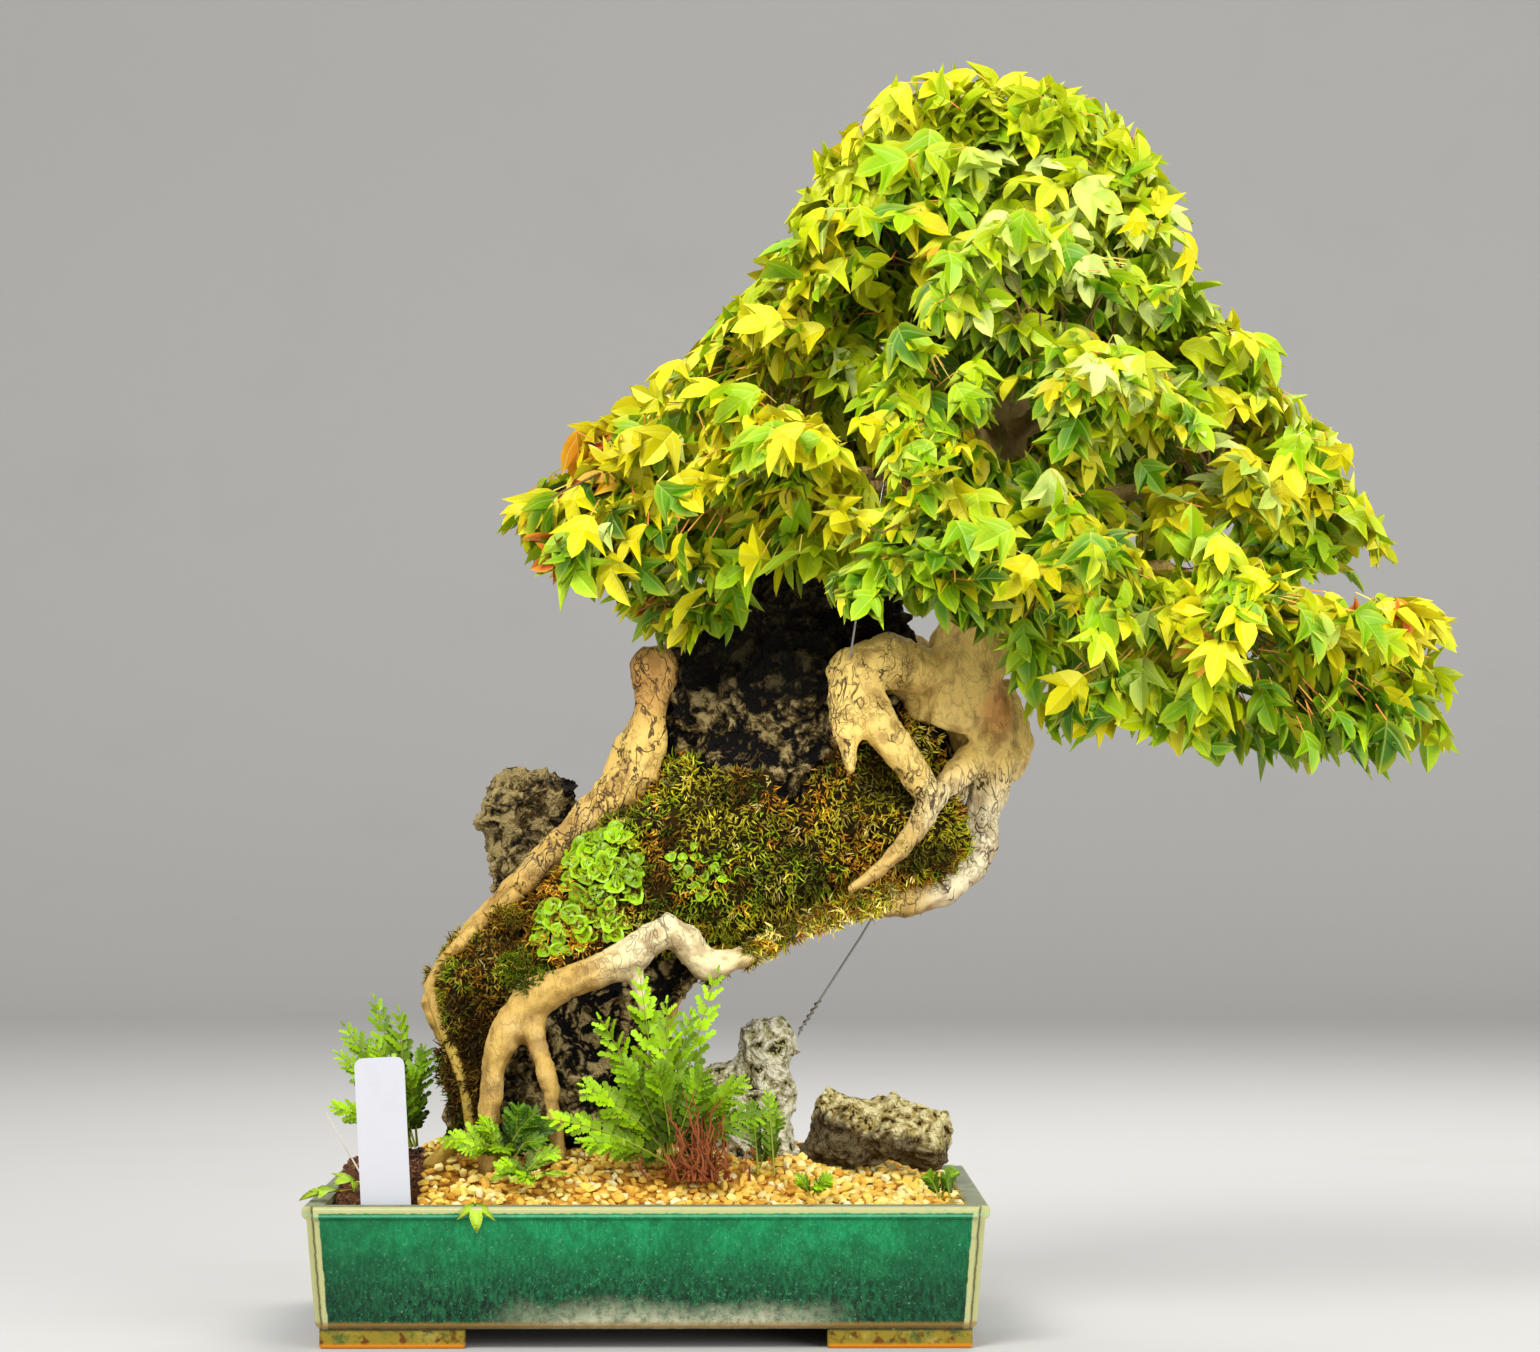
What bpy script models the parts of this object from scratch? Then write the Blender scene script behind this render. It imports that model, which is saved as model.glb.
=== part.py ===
# A trident maple bonsai grown over a leaning rock, in a glazed oblong pot.
# Metres, +Z up, -Y towards the viewer. Sizes, places and routes are named in
# millimetres from the middle of the pot, at the height of its feet, and MM
# turns them into metres.

import math
import random

import bmesh
import bpy
from mathutils import Matrix, Vector, noise
from mathutils.bvhtree import BVHTree

MM = 0.001
GAP = 0.4  # left between pieces that touch
TREE_SLACK = 0.1  # added to it round the roots, whose folds swell unevenly
NEAR = 0.08  # a second, closer cutter fills in where the first one folds over itself
SHARP_ANGLE = 35
WHOLE_MIDDLE = (128, -3)  # middle of the whole plant, seen from above

# Pot
POT_LENGTH = 350
POT_DEPTH = 250
POT_HEIGHT = 73
POT_TAPER = 5  # each wall leans out by this much from foot to lip
WALL = 9
FLOOR_TOP = 20
LIP_HEIGHT = 7
LIP_PROUD = 1.8
CORNER_NOTCH = 6
FOOT_HEIGHT = 10
FOOT_LENGTH = 74
FOOT_DEPTH = 52
FOOT_THICK = 13
FOOT_INSET = 8
DRAIN_RADIUS = 11
DRAIN_SPACING = 160

# Ground
SOIL_TOP = 52
STONE_FOOT = 68  # how deep rock and stones reach into the gravel
GRAVEL_EDGE = 68
MOUND_HEIGHT = 29
MOUND_MIDDLE = (-38, 15)
MOUND_REACH = (205, 118)
BARE_SOIL_RIGHT = -116  # the gravel starts here
GRAVEL_CELL = 24
SOIL_CELL = 14
PEBBLE_HEIGHT = 6

# Rock: spine from the gravel up to where the foliage hides it, with the
# half width across and the half depth at each station.
ROCK_SPINE = [
    (-60, 8, 92, 56, 62),
    (-56, 8, 125, 53, 60),
    (-46, 6, 171, 47, 56),
    (0, 6, 225, 50, 54),
    (57, 8, 263, 57, 56),
    (94, 12, 311, 66, 58),
    (88, 16, 360, 57, 54),
    (84, 22, 402, 46, 48),
]
ROCK_LOBES = [
    (-66, 46, 262, 36, 30, 38),
    (-44, 40, 236, 36, 32, 36),
    (130, 4, 264, 44, 46, 42),
    (150, 2, 306, 22, 26, 24),
    (-30, -30, 118, 34, 30, 34),
    (20, 20, 330, 30, 34, 42),
    (-86, -2, 176, 30, 42, 34),
    (-80, -2, 132, 30, 46, 42),
]
ROCK_VOXEL = 11
ROCK_CRAG = 15
ROCK_GRAIN = 34
ROCK_TRIANGLES = 780

# Moss: outline seen from the front, clockwise from the top
MOSS_OUTLINE = [
    (2, 306), (48, 288), (80, 286), (104, 318), (140, 326), (162, 290), (166, 248), (124, 212),
    (84, 184), (52, 170), (30, 188), (5, 214), (-27, 195), (-60, 184), (-76, 150), (-88, 112),
    (-112, 118), (-122, 176), (-97, 216), (-59, 250), (-24, 280),
]
MOSS_THICK = 5.5
MOSS_RIM = 2.5
MOSS_FACING = 0.12  # moss reaches round to where the rock turns this far from the front
MOSS_BACK = 6

# Trunk and roots, each row x, y, z, radius
TRUNK = [
    (158, -14, 318, 27), (166, -17, 343, 24), (176, -12, 380, 18), (186, -8, 440, 15),
    (191, 0, 494, 12), (188, 0, 540, 10), (194, 0, 585, 7), (199, 0, 632, 4),
]
BURLS = [
    (150, -18, 343, 30, 21, 14), (176, -10, 322, 18, 18, 28), (110, -47, 346, 17, 14, 15),
    (2, -2, 348, 14.5, 13, 15), (148, 8, 336, 12, 12, 11),
]
ROOTS = {
    "left": [
        (158, 10, 342, 15), (125, 46, 364, 15), (72, 56, 374, 14), (30, 40, 364, 12), (8, 12, 352, 12),
        (2, -2, 341, 12), (0, -5, 326, 9.5), (-3, -8, 310, 13), (-7, -9, 294, 14.5), (-28, -10, 271, 12),
        (-59, -10, 244, 9),
        (-86, -8, 218, 7.5), (-108, -10, 192, 6.5), (-118, -18, 172, 5.5), (-108, -24, 150, 5),
        (-99, -28, 130, 5), (-95, -30, 108, 5), (-92, -36, 84, 4),
    ],
    "surface": [(-84, -66, 104, 5), (-92, -64, 103, 5.5), (-103, -64, 99, 5.5), (-117, -68, 87, 4.5)],
    "strand": [(0, -4, 328, 6), (-13, -3, 309, 7), (-20, -4, 290, 7), (-28, -6, 270, 6)],
    "knuckle": [(148, -24, 345, 14), (127, -42, 353, 16), (109, -50, 347, 15), (103, -54, 331, 10),
                (104, -60, 311, 7), (106, -64, 293, 2.5)],
    "arm": [(110, -50, 340, 13), (122, -58, 316, 10), (138, -56, 295, 9), (149, -50, 280, 8.5),
            (143, -53, 266, 7), (133, -57, 254, 5.5), (120, -59, 242, 4), (104, -60, 231, 2.5)],
    "right_inner": [(182, -14, 316, 12), (174, -25, 303, 9), (162, -37, 291, 7.5), (149, -48, 279, 7)],
    "outer": [
        (182, -8, 322, 14), (186, -4, 301, 12.5), (181, -2, 281, 11.5), (176, -2, 266, 10.5),
        (178, -2, 255, 10.5), (174, -5, 245, 9.5), (166, -10, 237, 9), (154, -16, 229, 8.5),
        (139, -24, 224, 7.5), (122, -30, 222, 5.5),
        (102, -32, 220, 3.5), (78, -34, 212, 3.5), (56, -44, 200, 4.5), (38, -52, 193, 8),
    ],
    "stub": [(184, -2, 340, 12), (194, 4, 320, 10), (199, 8, 310, 9), (197, 8, 297, 7), (189, 5, 286, 3.5)],
    "front_low": [
        (58, -50, 197, 4.5), (30, -53, 191, 9), (20, -55, 204, 9.5), (10, -57, 212, 9.5), (-3, -60, 202, 10),
        (-20, -62, 191, 10), (-42, -63, 184, 9.5), (-62, -62, 174, 12),
    ],
    "left_leg": [(-60, -60, 176, 12), (-74, -64, 158, 10), (-81, -65, 140, 7.5), (-83, -66, 114, 6),
                 (-84, -66, 82, 5)],
    "right_leg": [(-61, -61, 172, 10), (-60, -64, 157, 7), (-54, -67, 141, 5.5), (-49, -68, 120, 4.5),
                  (-46, -68, 82, 4)],
    "drop": [(-10, -58, 196, 6), (-6, -62, 182, 5), (-1, -62, 165, 2)],
    "back": [
        (164, 6, 338, 18), (148, 62, 326, 15), (104, 84, 292, 12), (44, 84, 246, 11), (-12, 80, 204, 9),
        (-44, 80, 156, 8), (-58, 82, 110, 7), (-62, 86, 82, 5),
    ],
    "back_fork": [(60, 80, 256, 9), (52, 78, 222, 7), (20, 74, 184, 6), (2, 76, 140, 5), (6, 84, 84, 4)],
    "back_right": [(170, 4, 330, 14), (172, 40, 300, 11), (150, 58, 262, 9), (112, 64, 232, 7),
                   (70, 62, 206, 4)],
}
ROOT_STEP = 20
LIMB_STEP = 70
TREE_TRIANGLES = 1750
ROOT_WAVER = 0.12

# Foliage pads: x, y, z of the middle, half sizes to the leaf tips, leaves,
# and how high on the trunk the limb leaves it
PADS = {
    "apex": (194, 0, 634, 60, 56, 44, 12, 585),
    "crown_left": (122, -12, 584, 58, 60, 50, 12, 520),
    "crown_front": (196, -72, 556, 66, 52, 48, 13, 520),
    "crown_right": (254, -4, 572, 52, 60, 56, 12, 530),
    "crown_back": (192, 82, 560, 76, 58, 56, 12, 520),
    "mid_left": (62, 4, 524, 68, 66, 44, 12, 470),
    "mid_centre": (146, -96, 490, 60, 46, 46, 12, 470),
    "mid_front": (238, -98, 488, 58, 46, 44, 12, 470),
    "mid_right": (300, 10, 506, 58, 64, 48, 12, 470),
    "left_low": (-10, 0, 458, 74, 64, 46, 14, 430),
    "left_front": (66, -86, 452, 66, 52, 46, 13, 430),
    "left_back": (58, 104, 482, 80, 58, 52, 12, 440),
    "centre_front": (144, -138, 404, 56, 44, 38, 12, 420),
    "right_low": (224, -112, 394, 58, 50, 40, 12, 395),
    "right_front": (306, -78, 376, 66, 56, 46, 13, 390),
    "right_tip": (380, -26, 352, 52, 56, 50, 12, 390),
    "right_mid": (350, 14, 436, 58, 60, 48, 12, 430),
    "right_low_back": (270, 52, 368, 70, 56, 40, 11, 390),
    "right_back": (290, 118, 462, 78, 56, 56, 12, 440),
    "low_back": (168, 134, 420, 80, 50, 46, 11, 410),
    "left_sprig": (14, -18, 378, 30, 26, 20, 5, 400),
    "trunk_front": (194, -62, 436, 50, 38, 52, 11, 450),
}
CORE_SHARE = 0.5  # the twiggy middle of a pad, which its leaves stand out of
CORE_GAP = 1.2
LEAF_LENGTH = 56
LEAF_THICK = 0.7
LEAF_CLEAR = 0.8  # what a leaf keeps free around it is thicker by this
LEAF_TRIES = 40
LEAF_REACH_DOWN = 1.55  # 1 stops at the pad's waist, 2 goes all the way underneath

# Small plants: root point, then each frond's tip and width
FROND_THICK = 0.9
FROND_ARCH = 7
FIRST_LEAFLET = 0.25  # how far up its rib a frond is bare
FRONT_FERN = (12, -74, 92)
FRONT_FERN_DEPTH = 16
FRONT_FRONDS = [(32, -80, 188, 30), (2, -88, 170, 34), (56, -92, 128, 26), (-24, -97, 146, 28),
                (24, -104, 142, 30), (-50, -106, 112, 22)]  # from the back to the front
LEFT_FERN = (-128, -8, 98)
LEFT_FERN_DEPTH = 20
LEFT_FRONDS = [(-158, 4, 142, 24), (-149, -12, 170, 28), (-136, -26, 158, 26), (-166, -34, 128, 26)]
STEM_TUFT = (34, -58, 88)
TUFT_STEMS = 6
CUP_PATCH = (-31, 232, 22, 30)  # x, z, half width, half height seen from the front
CUPS = 8
CUP_RADIUS = (6.5, 8.5)
CUP_HEIGHT = 9
CUP_HOLLOW = 3.5

# Stones, tag and tie wire
TALL_STONE = [(62, -14, 149, 18, 14, 18), (64, -14, 122, 15, 14, 24), (46, -12, 114, 17, 14, 16),
              (31, -10, 126, 16, 14, 15), (54, -14, 92, 30, 17, 17)]
LOW_STONE = [(98, -8, 92, 22, 24, 16), (122, -8, 100, 24, 22, 15), (148, -8, 98, 16, 18, 21),
             (97, -12, 116, 14, 13, 11), (124, -4, 110, 22, 14, 12)]
STONE_VOXEL = 6
STONE_CRAG = 6
TALL_GRAIN = 16
LOW_GRAIN = 18
STONE_TRIANGLES = 190
TAG_SIZE = (25.5, 95, 0.9)
TAG_FOOT = (-132, -109, 53)
TAG_LEAN = -2.6
TAG_CORNER = 4
LOW_WIRE = [(118, -30, 216.5), (112, -24, 206), (94, -19, 178), (80, -15, 156), (77, -14, 149)]
HIGH_WIRE = [(126, -48, 458), (121, -62, 432), (113, -72, 400), (109, -70, 378), (105, -60, 350)]
WIRE_RADIUS = 0.6
SCREEN_SIZE = 34
SCREEN_THICK = 1.0


# Colours

FINISHES = {
    "green_glaze": ((0.02, 0.24, 0.13), 0.15, 0),
    "earth": ((0.12, 0.07, 0.04), 0.9, 0),
    "gravel": ((0.72, 0.55, 0.30), 0.6, 0),
    "crag_rock": ((0.20, 0.18, 0.15), 0.7, 0),
    "moss": ((0.22, 0.20, 0.04), 0.9, 0),
    "bark": ((0.62, 0.47, 0.27), 0.65, 0),
    "maple_leaf": ((0.42, 0.62, 0.06), 0.4, 0),
    "fern": ((0.22, 0.60, 0.05), 0.45, 0),
    "liverwort": ((0.25, 0.55, 0.06), 0.4, 0),
    "dry_stem": ((0.36, 0.13, 0.06), 0.75, 0),
    "pale_stone": ((0.48, 0.45, 0.42), 0.6, 0),
    "white_tag": ((0.85, 0.85, 0.85), 0.4, 0),
    "wire": ((0.30, 0.29, 0.28), 0.4, 0.9),
    "screen": ((0.03, 0.03, 0.03), 0.6, 0),
}


def finish(name):
    colour, rough, metal = FINISHES[name]
    material = bpy.data.materials.new(name)
    material.use_nodes = True
    shader = material.node_tree.nodes["Principled BSDF"]
    shader.inputs["Base Color"].default_value = (*colour, 1)
    shader.inputs["Roughness"].default_value = rough
    shader.inputs["Metallic"].default_value = metal
    material.diffuse_color = (*colour, 1)
    return material


# Meshes and Booleans

def clear_scene():
    for thing in list(bpy.data.objects):
        bpy.data.objects.remove(thing, do_unlink=True)


def new_group(name):
    group = bpy.data.collections.new(name)
    bpy.context.scene.collection.children.link(group)
    return group


def add_solid(name, bm):
    mesh = bpy.data.meshes.new(name)
    bmesh.ops.recalc_face_normals(bm, faces=bm.faces)
    bm.to_mesh(mesh)
    bm.free()
    thing = bpy.data.objects.new(name, mesh)
    bpy.context.scene.collection.objects.link(thing)
    return thing


def copy_solid(thing, name):
    twin = bpy.data.objects.new(name, thing.data.copy())
    bpy.context.scene.collection.objects.link(twin)
    return twin


def bake(thing):
    # the result of the modifiers becomes the mesh
    bpy.context.view_layer.update()
    graph = bpy.context.evaluated_depsgraph_get()
    mesh = bpy.data.meshes.new_from_object(thing.evaluated_get(graph))
    thing.modifiers.clear()
    thing.data = mesh
    return thing


def combine(thing, others, operation, keep=False, crossing=False, solver="EXACT"):
    group = new_group("operands")
    for other in others:
        group.objects.link(other)
    change = thing.modifiers.new("combine", "BOOLEAN")
    change.operation = operation
    change.operand_type = "COLLECTION"
    change.collection = group
    change.solver = solver
    if solver == "EXACT":
        change.use_self = crossing
    bake(thing)
    for other in others:
        group.objects.unlink(other)
        if not keep:
            bpy.data.objects.remove(other, do_unlink=True)
    bpy.data.collections.remove(group)
    return thing


def bodies_of(bm):
    # the faces of each body, found from edge to edge
    left = set(bm.faces)
    found = []
    while left:
        reached = [left.pop()]
        body = list(reached)
        while reached:
            face = reached.pop()
            for edge in face.edges:
                for other in edge.link_faces:
                    if other in left:
                        left.discard(other)
                        body.append(other)
                        reached.append(other)
        found.append(body)
    return found


def body_volume(body):
    total = 0
    for face in body:
        corners = [vert.co for vert in face.verts]
        for second, third in zip(corners[1:], corners[2:]):
            total += corners[0].dot(second.cross(third)) / 6
    return total


def drop_all_but_last(bm, bodies):
    loose = [face for body in bodies[:-1] for face in body]
    bmesh.ops.delete(bm, geom=loose, context="FACES")
    bmesh.ops.delete(bm, geom=[vert for vert in bm.verts if not vert.link_faces], context="VERTS")


def mend_edges(bm):
    # an edge where four faces meet is opened, and the small hole closed again
    crowded = [edge for edge in bm.edges if len(edge.link_faces) > 2]
    if not crowded:
        return
    around = {face for edge in crowded for vert in edge.verts for face in vert.link_faces}
    bmesh.ops.delete(bm, geom=list(around), context="FACES")
    bmesh.ops.delete(bm, geom=[vert for vert in bm.verts if not vert.link_faces], context="VERTS")
    bmesh.ops.holes_fill(bm, edges=[edge for edge in bm.edges if edge.is_boundary], sides=0)
    bmesh.ops.recalc_face_normals(bm, faces=bm.faces)


def keep_largest(thing):
    # drops scraps that a cut leaves behind, and sealed hollows
    bm = bmesh.new()
    bm.from_mesh(thing.data)
    bmesh.ops.remove_doubles(bm, verts=bm.verts, dist=1e-6)
    mend_edges(bm)
    drop_all_but_last(bm, sorted(bodies_of(bm), key=body_volume))
    bmesh.ops.triangulate(bm, faces=bm.faces)
    bm.to_mesh(thing.data)
    bm.free()
    return thing


def thin_out(thing, triangles):
    # fewer faces, with the forms kept
    fewer = thing.modifiers.new("fewer", "DECIMATE")
    fewer.ratio = min(1, triangles / sum(len(face.vertices) - 2 for face in thing.data.polygons))
    fewer.use_collapse_triangulate = True
    return bake(thing)


def swollen(thing, distance, name):
    # a copy pushed out along its normals, to cut a neighbour clear of it
    twin = copy_solid(thing, name)
    bm = bmesh.new()
    bm.from_mesh(twin.data)
    bm.normal_update()
    moves = {vert: vert.normal * distance * min(vert.calc_shell_factor(), 3) * MM for vert in bm.verts}
    for vert, move in moves.items():
        vert.co += move
    bm.to_mesh(twin.data)
    bm.free()
    return twin


def cut_clear(thing, cutters):
    # the swollen cutters may cross themselves in a fold, and stay for later cuts
    return keep_largest(combine(thing, cutters, "DIFFERENCE", keep=True, crossing=True))


def sunk_clear(ground, plants, cutters):
    # the ground with a hole round each thing that stands in it
    combine(ground, [swollen(thing, GAP, "hole") for thing in plants], "DIFFERENCE")
    return cut_clear(ground, cutters)


def box_mesh(low, high):
    bm = bmesh.new()
    bmesh.ops.create_cube(bm, size=1)
    middle = (Vector(low) + Vector(high)) / 2
    size = Vector(high) - Vector(low)
    for vert in bm.verts:
        vert.co = (middle + Vector(a * b for a, b in zip(vert.co, size))) * MM
    return bm


def box(name, low, high):
    return add_solid(name, box_mesh(low, high))


def ball(name, x, y, z, across, deep, tall, rings=8):
    bm = bmesh.new()
    bmesh.ops.create_uvsphere(bm, u_segments=rings + 2, v_segments=rings, radius=1)
    for vert in bm.verts:
        vert.co = Vector((x + vert.co.x * across, y + vert.co.y * deep, z + vert.co.z * tall)) * MM
    return add_solid(name, bm)


def cylinder(name, x, y, low, high, radius, top_radius=None, sides=12):
    bm = bmesh.new()
    top = radius if top_radius is None else top_radius
    place = Matrix.Translation((x * MM, y * MM, (low + high) / 2 * MM))
    bmesh.ops.create_cone(bm, cap_ends=True, segments=sides, radius1=radius * MM, radius2=top * MM,
                          depth=(high - low) * MM, matrix=place)
    return add_solid(name, bm)


def smooth_route(rows, step):
    # a Catmull-Rom curve through the rows, with its points about one step apart
    rows = [Vector(row) for row in rows]
    padded = [rows[0] * 2 - rows[1], *rows, rows[-1] * 2 - rows[-2]]
    route = [rows[0]]
    for before, start, end, after in zip(padded, padded[1:], padded[2:], padded[3:]):
        length = (Vector(end[:3]) - Vector(start[:3])).length
        pieces = max(1, round(length / step))
        for number in range(1, pieces + 1):
            t = number / pieces
            route.append((start * 2 + (end - before) * t + (before * 2 - start * 5 + end * 4 - after) * t * t
                          + (start * 3 - before - end * 3 + after) * t ** 3) / 2)
    return route


def tube(name, rows, step, sides=8, waver=0):
    curve = bpy.data.curves.new(name, "CURVE")
    curve.dimensions = "3D"
    curve.bevel_depth = MM
    curve.bevel_resolution = (sides - 4) // 2
    curve.use_fill_caps = True
    route = [Vector((*row[:3], row[3])) for row in smooth_route(rows, step)]
    spline = curve.splines.new("POLY")
    spline.points.add(len(route) - 1)
    for knot, row in zip(spline.points, route):
        place = Vector(row[:3])
        bump = 1 + waver * noise.noise(place * 0.045)
        knot.co = (*place * MM, 1)
        knot.radius = max(row[3], 0.5) * bump
    thing = bpy.data.objects.new(name, curve)
    bpy.context.scene.collection.objects.link(thing)
    bpy.context.view_layer.update()
    graph = bpy.context.evaluated_depsgraph_get()
    mesh = bpy.data.meshes.new_from_object(thing.evaluated_get(graph))
    bpy.data.objects.remove(thing, do_unlink=True)
    bm = bmesh.new()
    bm.from_mesh(mesh)
    bmesh.ops.remove_doubles(bm, verts=bm.verts, dist=1e-6)
    return add_solid(name, bm)


def tree_of(thing):
    # a search tree of the mesh, for finding what crosses it
    bm = bmesh.new()
    bm.from_mesh(thing.data)
    found = BVHTree.FromBMesh(bm)
    bm.free()
    return found


# Pot

def half_length(z):
    return POT_LENGTH / 2 - LIP_PROUD - POT_TAPER * (POT_HEIGHT - z) / (POT_HEIGHT - FOOT_HEIGHT)


def half_depth(z):
    return POT_DEPTH / 2 - LIP_PROUD - POT_TAPER * (POT_HEIGHT - z) / (POT_HEIGHT - FOOT_HEIGHT)


def tapered_block(name, low, high, shrink, round_edges=0):
    # a block that follows the lean of the walls, set in from them by shrink
    bm = box_mesh((-1, -1, low), (1, 1, high))
    for vert in bm.verts:
        z = vert.co.z / MM
        vert.co.x = math.copysign((half_length(z) - shrink) * MM, vert.co.x)
        vert.co.y = math.copysign((half_depth(z) - shrink) * MM, vert.co.y)
    thing = add_solid(name, bm)
    if round_edges:
        soften(thing, round_edges)
    return thing


def soften(thing, width, segments=1):
    edges = thing.modifiers.new("soften", "BEVEL")
    edges.width = width * MM
    edges.segments = segments
    edges.limit_method = "ANGLE"
    edges.angle_limit = math.radians(40)
    return bake(thing)


def pot_lip():
    low = POT_HEIGHT - LIP_HEIGHT
    lip = box("lip", (-POT_LENGTH / 2, -POT_DEPTH / 2, low), (POT_LENGTH / 2, POT_DEPTH / 2, POT_HEIGHT))
    return soften(lip, 1.6)


def pot_feet():
    feet = []
    for side_x in (-1, 1):
        for side_y in (-1, 1):
            outer_x = side_x * (half_length(FOOT_HEIGHT) - FOOT_INSET + 6)
            outer_y = side_y * (half_depth(FOOT_HEIGHT) - FOOT_INSET + 6)
            runs = [(outer_x - side_x * FOOT_LENGTH, outer_y - side_y * FOOT_THICK),
                    (outer_x - side_x * FOOT_THICK, outer_y - side_y * FOOT_DEPTH)]
            for inner_x, inner_y in runs:
                low = (min(outer_x, inner_x), min(outer_y, inner_y), 0)
                high = (max(outer_x, inner_x), max(outer_y, inner_y), FOOT_HEIGHT + 2)
                feet.append(soften(box("foot", low, high), 1.2))
    return feet


def make_pot():
    pot = tapered_block("pot", FOOT_HEIGHT, POT_HEIGHT - 1, 0, 2)
    combine(pot, [pot_lip(), *pot_feet()], "UNION")
    cutters = [tapered_block("hollow", FLOOR_TOP, POT_HEIGHT + 8, WALL)]
    for side in (-1, 1):
        cutters.append(cylinder("drain", side * DRAIN_SPACING / 2, 0, -5, FLOOR_TOP + 5, DRAIN_RADIUS))
        for other in (-1, 1):
            reach = (CORNER_NOTCH, CORNER_NOTCH)
            corner = box("notch", (-reach[0], -reach[1], FOOT_HEIGHT), (*reach, POT_HEIGHT + 8))
            for vert in corner.data.vertices:
                z = vert.co.z / MM
                vert.co.x += side * (half_length(z) + LIP_PROUD) * MM
                vert.co.y += other * (half_depth(z) + LIP_PROUD) * MM
            cutters.append(corner)
    return keep_largest(combine(pot, cutters, "DIFFERENCE"))


def make_screens():
    # squares of drainage mesh over the holes, each a lattice of bars
    screens = []
    half = SCREEN_SIZE / 2
    for number, side in enumerate((-1, 1)):
        low = FLOOR_TOP + GAP
        high = low + SCREEN_THICK
        x = side * DRAIN_SPACING / 2
        screen = box(f"drain_screen_{number + 1}", (x - half, -half, low), (x + half, half, high))
        pitch = SCREEN_SIZE / 4.4
        holes = []
        for row in (-1, 1):
            for column in (-1, 1):
                middle = Vector((x + row * pitch, column * pitch, low))
                reach = Vector((pitch * 0.72, pitch * 0.72, 3))
                holes.append(box("hole", middle - reach, middle + reach))
        screens.append(combine(screen, holes, "DIFFERENCE"))
    return screens


# Ground

def mound(x, y):
    across = (x - MOUND_MIDDLE[0]) / MOUND_REACH[0]
    deep = (y - MOUND_MIDDLE[1]) / MOUND_REACH[1]
    inside = max(0, 1 - across * across - deep * deep)
    return GRAVEL_EDGE + MOUND_HEIGHT * inside ** 0.8


def ground_slab(name, left, right, floor, cell, height):
    # a sheet of square cells whose top follows height(x, y), closed down to a flat floor
    front = -half_depth(floor) + WALL + GAP
    columns = max(1, round((right - left) / cell))
    rows = max(1, round(-2 * front / cell))
    bm = bmesh.new()
    bmesh.ops.create_grid(bm, x_segments=columns, y_segments=rows, size=0.5)
    for vert in bm.verts:
        x = left + (vert.co.x + 0.5) * (right - left)
        y = vert.co.y * -2 * front
        vert.co = Vector((x, y, height(x, y))) * MM
    top = list(bm.faces)
    rim = [edge for edge in bm.edges if edge.is_boundary]
    skirt = bmesh.ops.extrude_edge_only(bm, edges=rim)
    low = [part for part in skirt["geom"] if isinstance(part, bmesh.types.BMVert)]
    for vert in low:
        vert.co.z = floor * MM
    bmesh.ops.contextual_create(bm, geom=[edge for edge in bm.edges if edge.is_boundary])
    bmesh.ops.triangulate(bm, faces=top)
    return add_solid(name, bm)


def make_soil():
    # level under the gravel, and bare at the left, where it reaches the surface
    floor = FLOOR_TOP + SCREEN_THICK + 2 * GAP
    reach = half_length(floor) - WALL - GAP
    soil = ground_slab("soil", -reach, reach, floor, 400, lambda x, y: SOIL_TOP)
    edge = -half_length(SOIL_TOP) + WALL + GAP
    bare = ground_slab("bare", edge, BARE_SOIL_RIGHT - GAP, SOIL_TOP - 2, SOIL_CELL,
                       lambda x, y: mound(x, y) - 3 + 2 * noise.noise(Vector((x, y, 0)) * 0.06))
    return combine(soil, [bare], "UNION")


def pebbles(x, y):
    place = Vector((x, y, 0)) / GRAVEL_CELL
    return PEBBLE_HEIGHT * noise.cell(place * 3.7)


def make_gravel():
    right = half_length(SOIL_TOP) - WALL - GAP
    return ground_slab("gravel", BARE_SOIL_RIGHT, right, SOIL_TOP + GAP, GRAVEL_CELL,
                       lambda x, y: mound(x, y) + pebbles(x, y))


# Rock, moss and stones

def fuse_by_voxels(name, balls, voxel):
    first, *others = balls
    bm = bmesh.new()
    for thing in balls:
        bm.from_mesh(thing.data)
    for thing in others:
        bpy.data.objects.remove(thing, do_unlink=True)
    bm.to_mesh(first.data)
    bm.free()
    first.name = name
    skin = first.modifiers.new("skin", "REMESH")
    skin.mode = "VOXEL"
    skin.voxel_size = voxel * MM
    skin.adaptivity = 0
    return bake(first)


def crag(thing, height, grain, calm=None):
    # pushes each corner in or out, in sharp ridges with deep clefts between them
    bm = bmesh.new()
    bm.from_mesh(thing.data)
    bm.normal_update()
    moves = []
    for vert in bm.verts:
        place = vert.co / MM / grain
        ridge = 1 - 2 * abs(noise.noise(place)) - 0.8 * abs(noise.noise(place * 2.1 + Vector((7, 3, 5))))
        share = calm(vert.co / MM) if calm else 1
        moves.append(vert.normal * (ridge - 0.45) * height * share * MM)
    for vert, move in zip(bm.verts, moves):
        vert.co += move
    bmesh.ops.triangulate(bm, faces=bm.faces)
    bm.to_mesh(thing.data)
    bm.free()
    return thing


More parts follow.
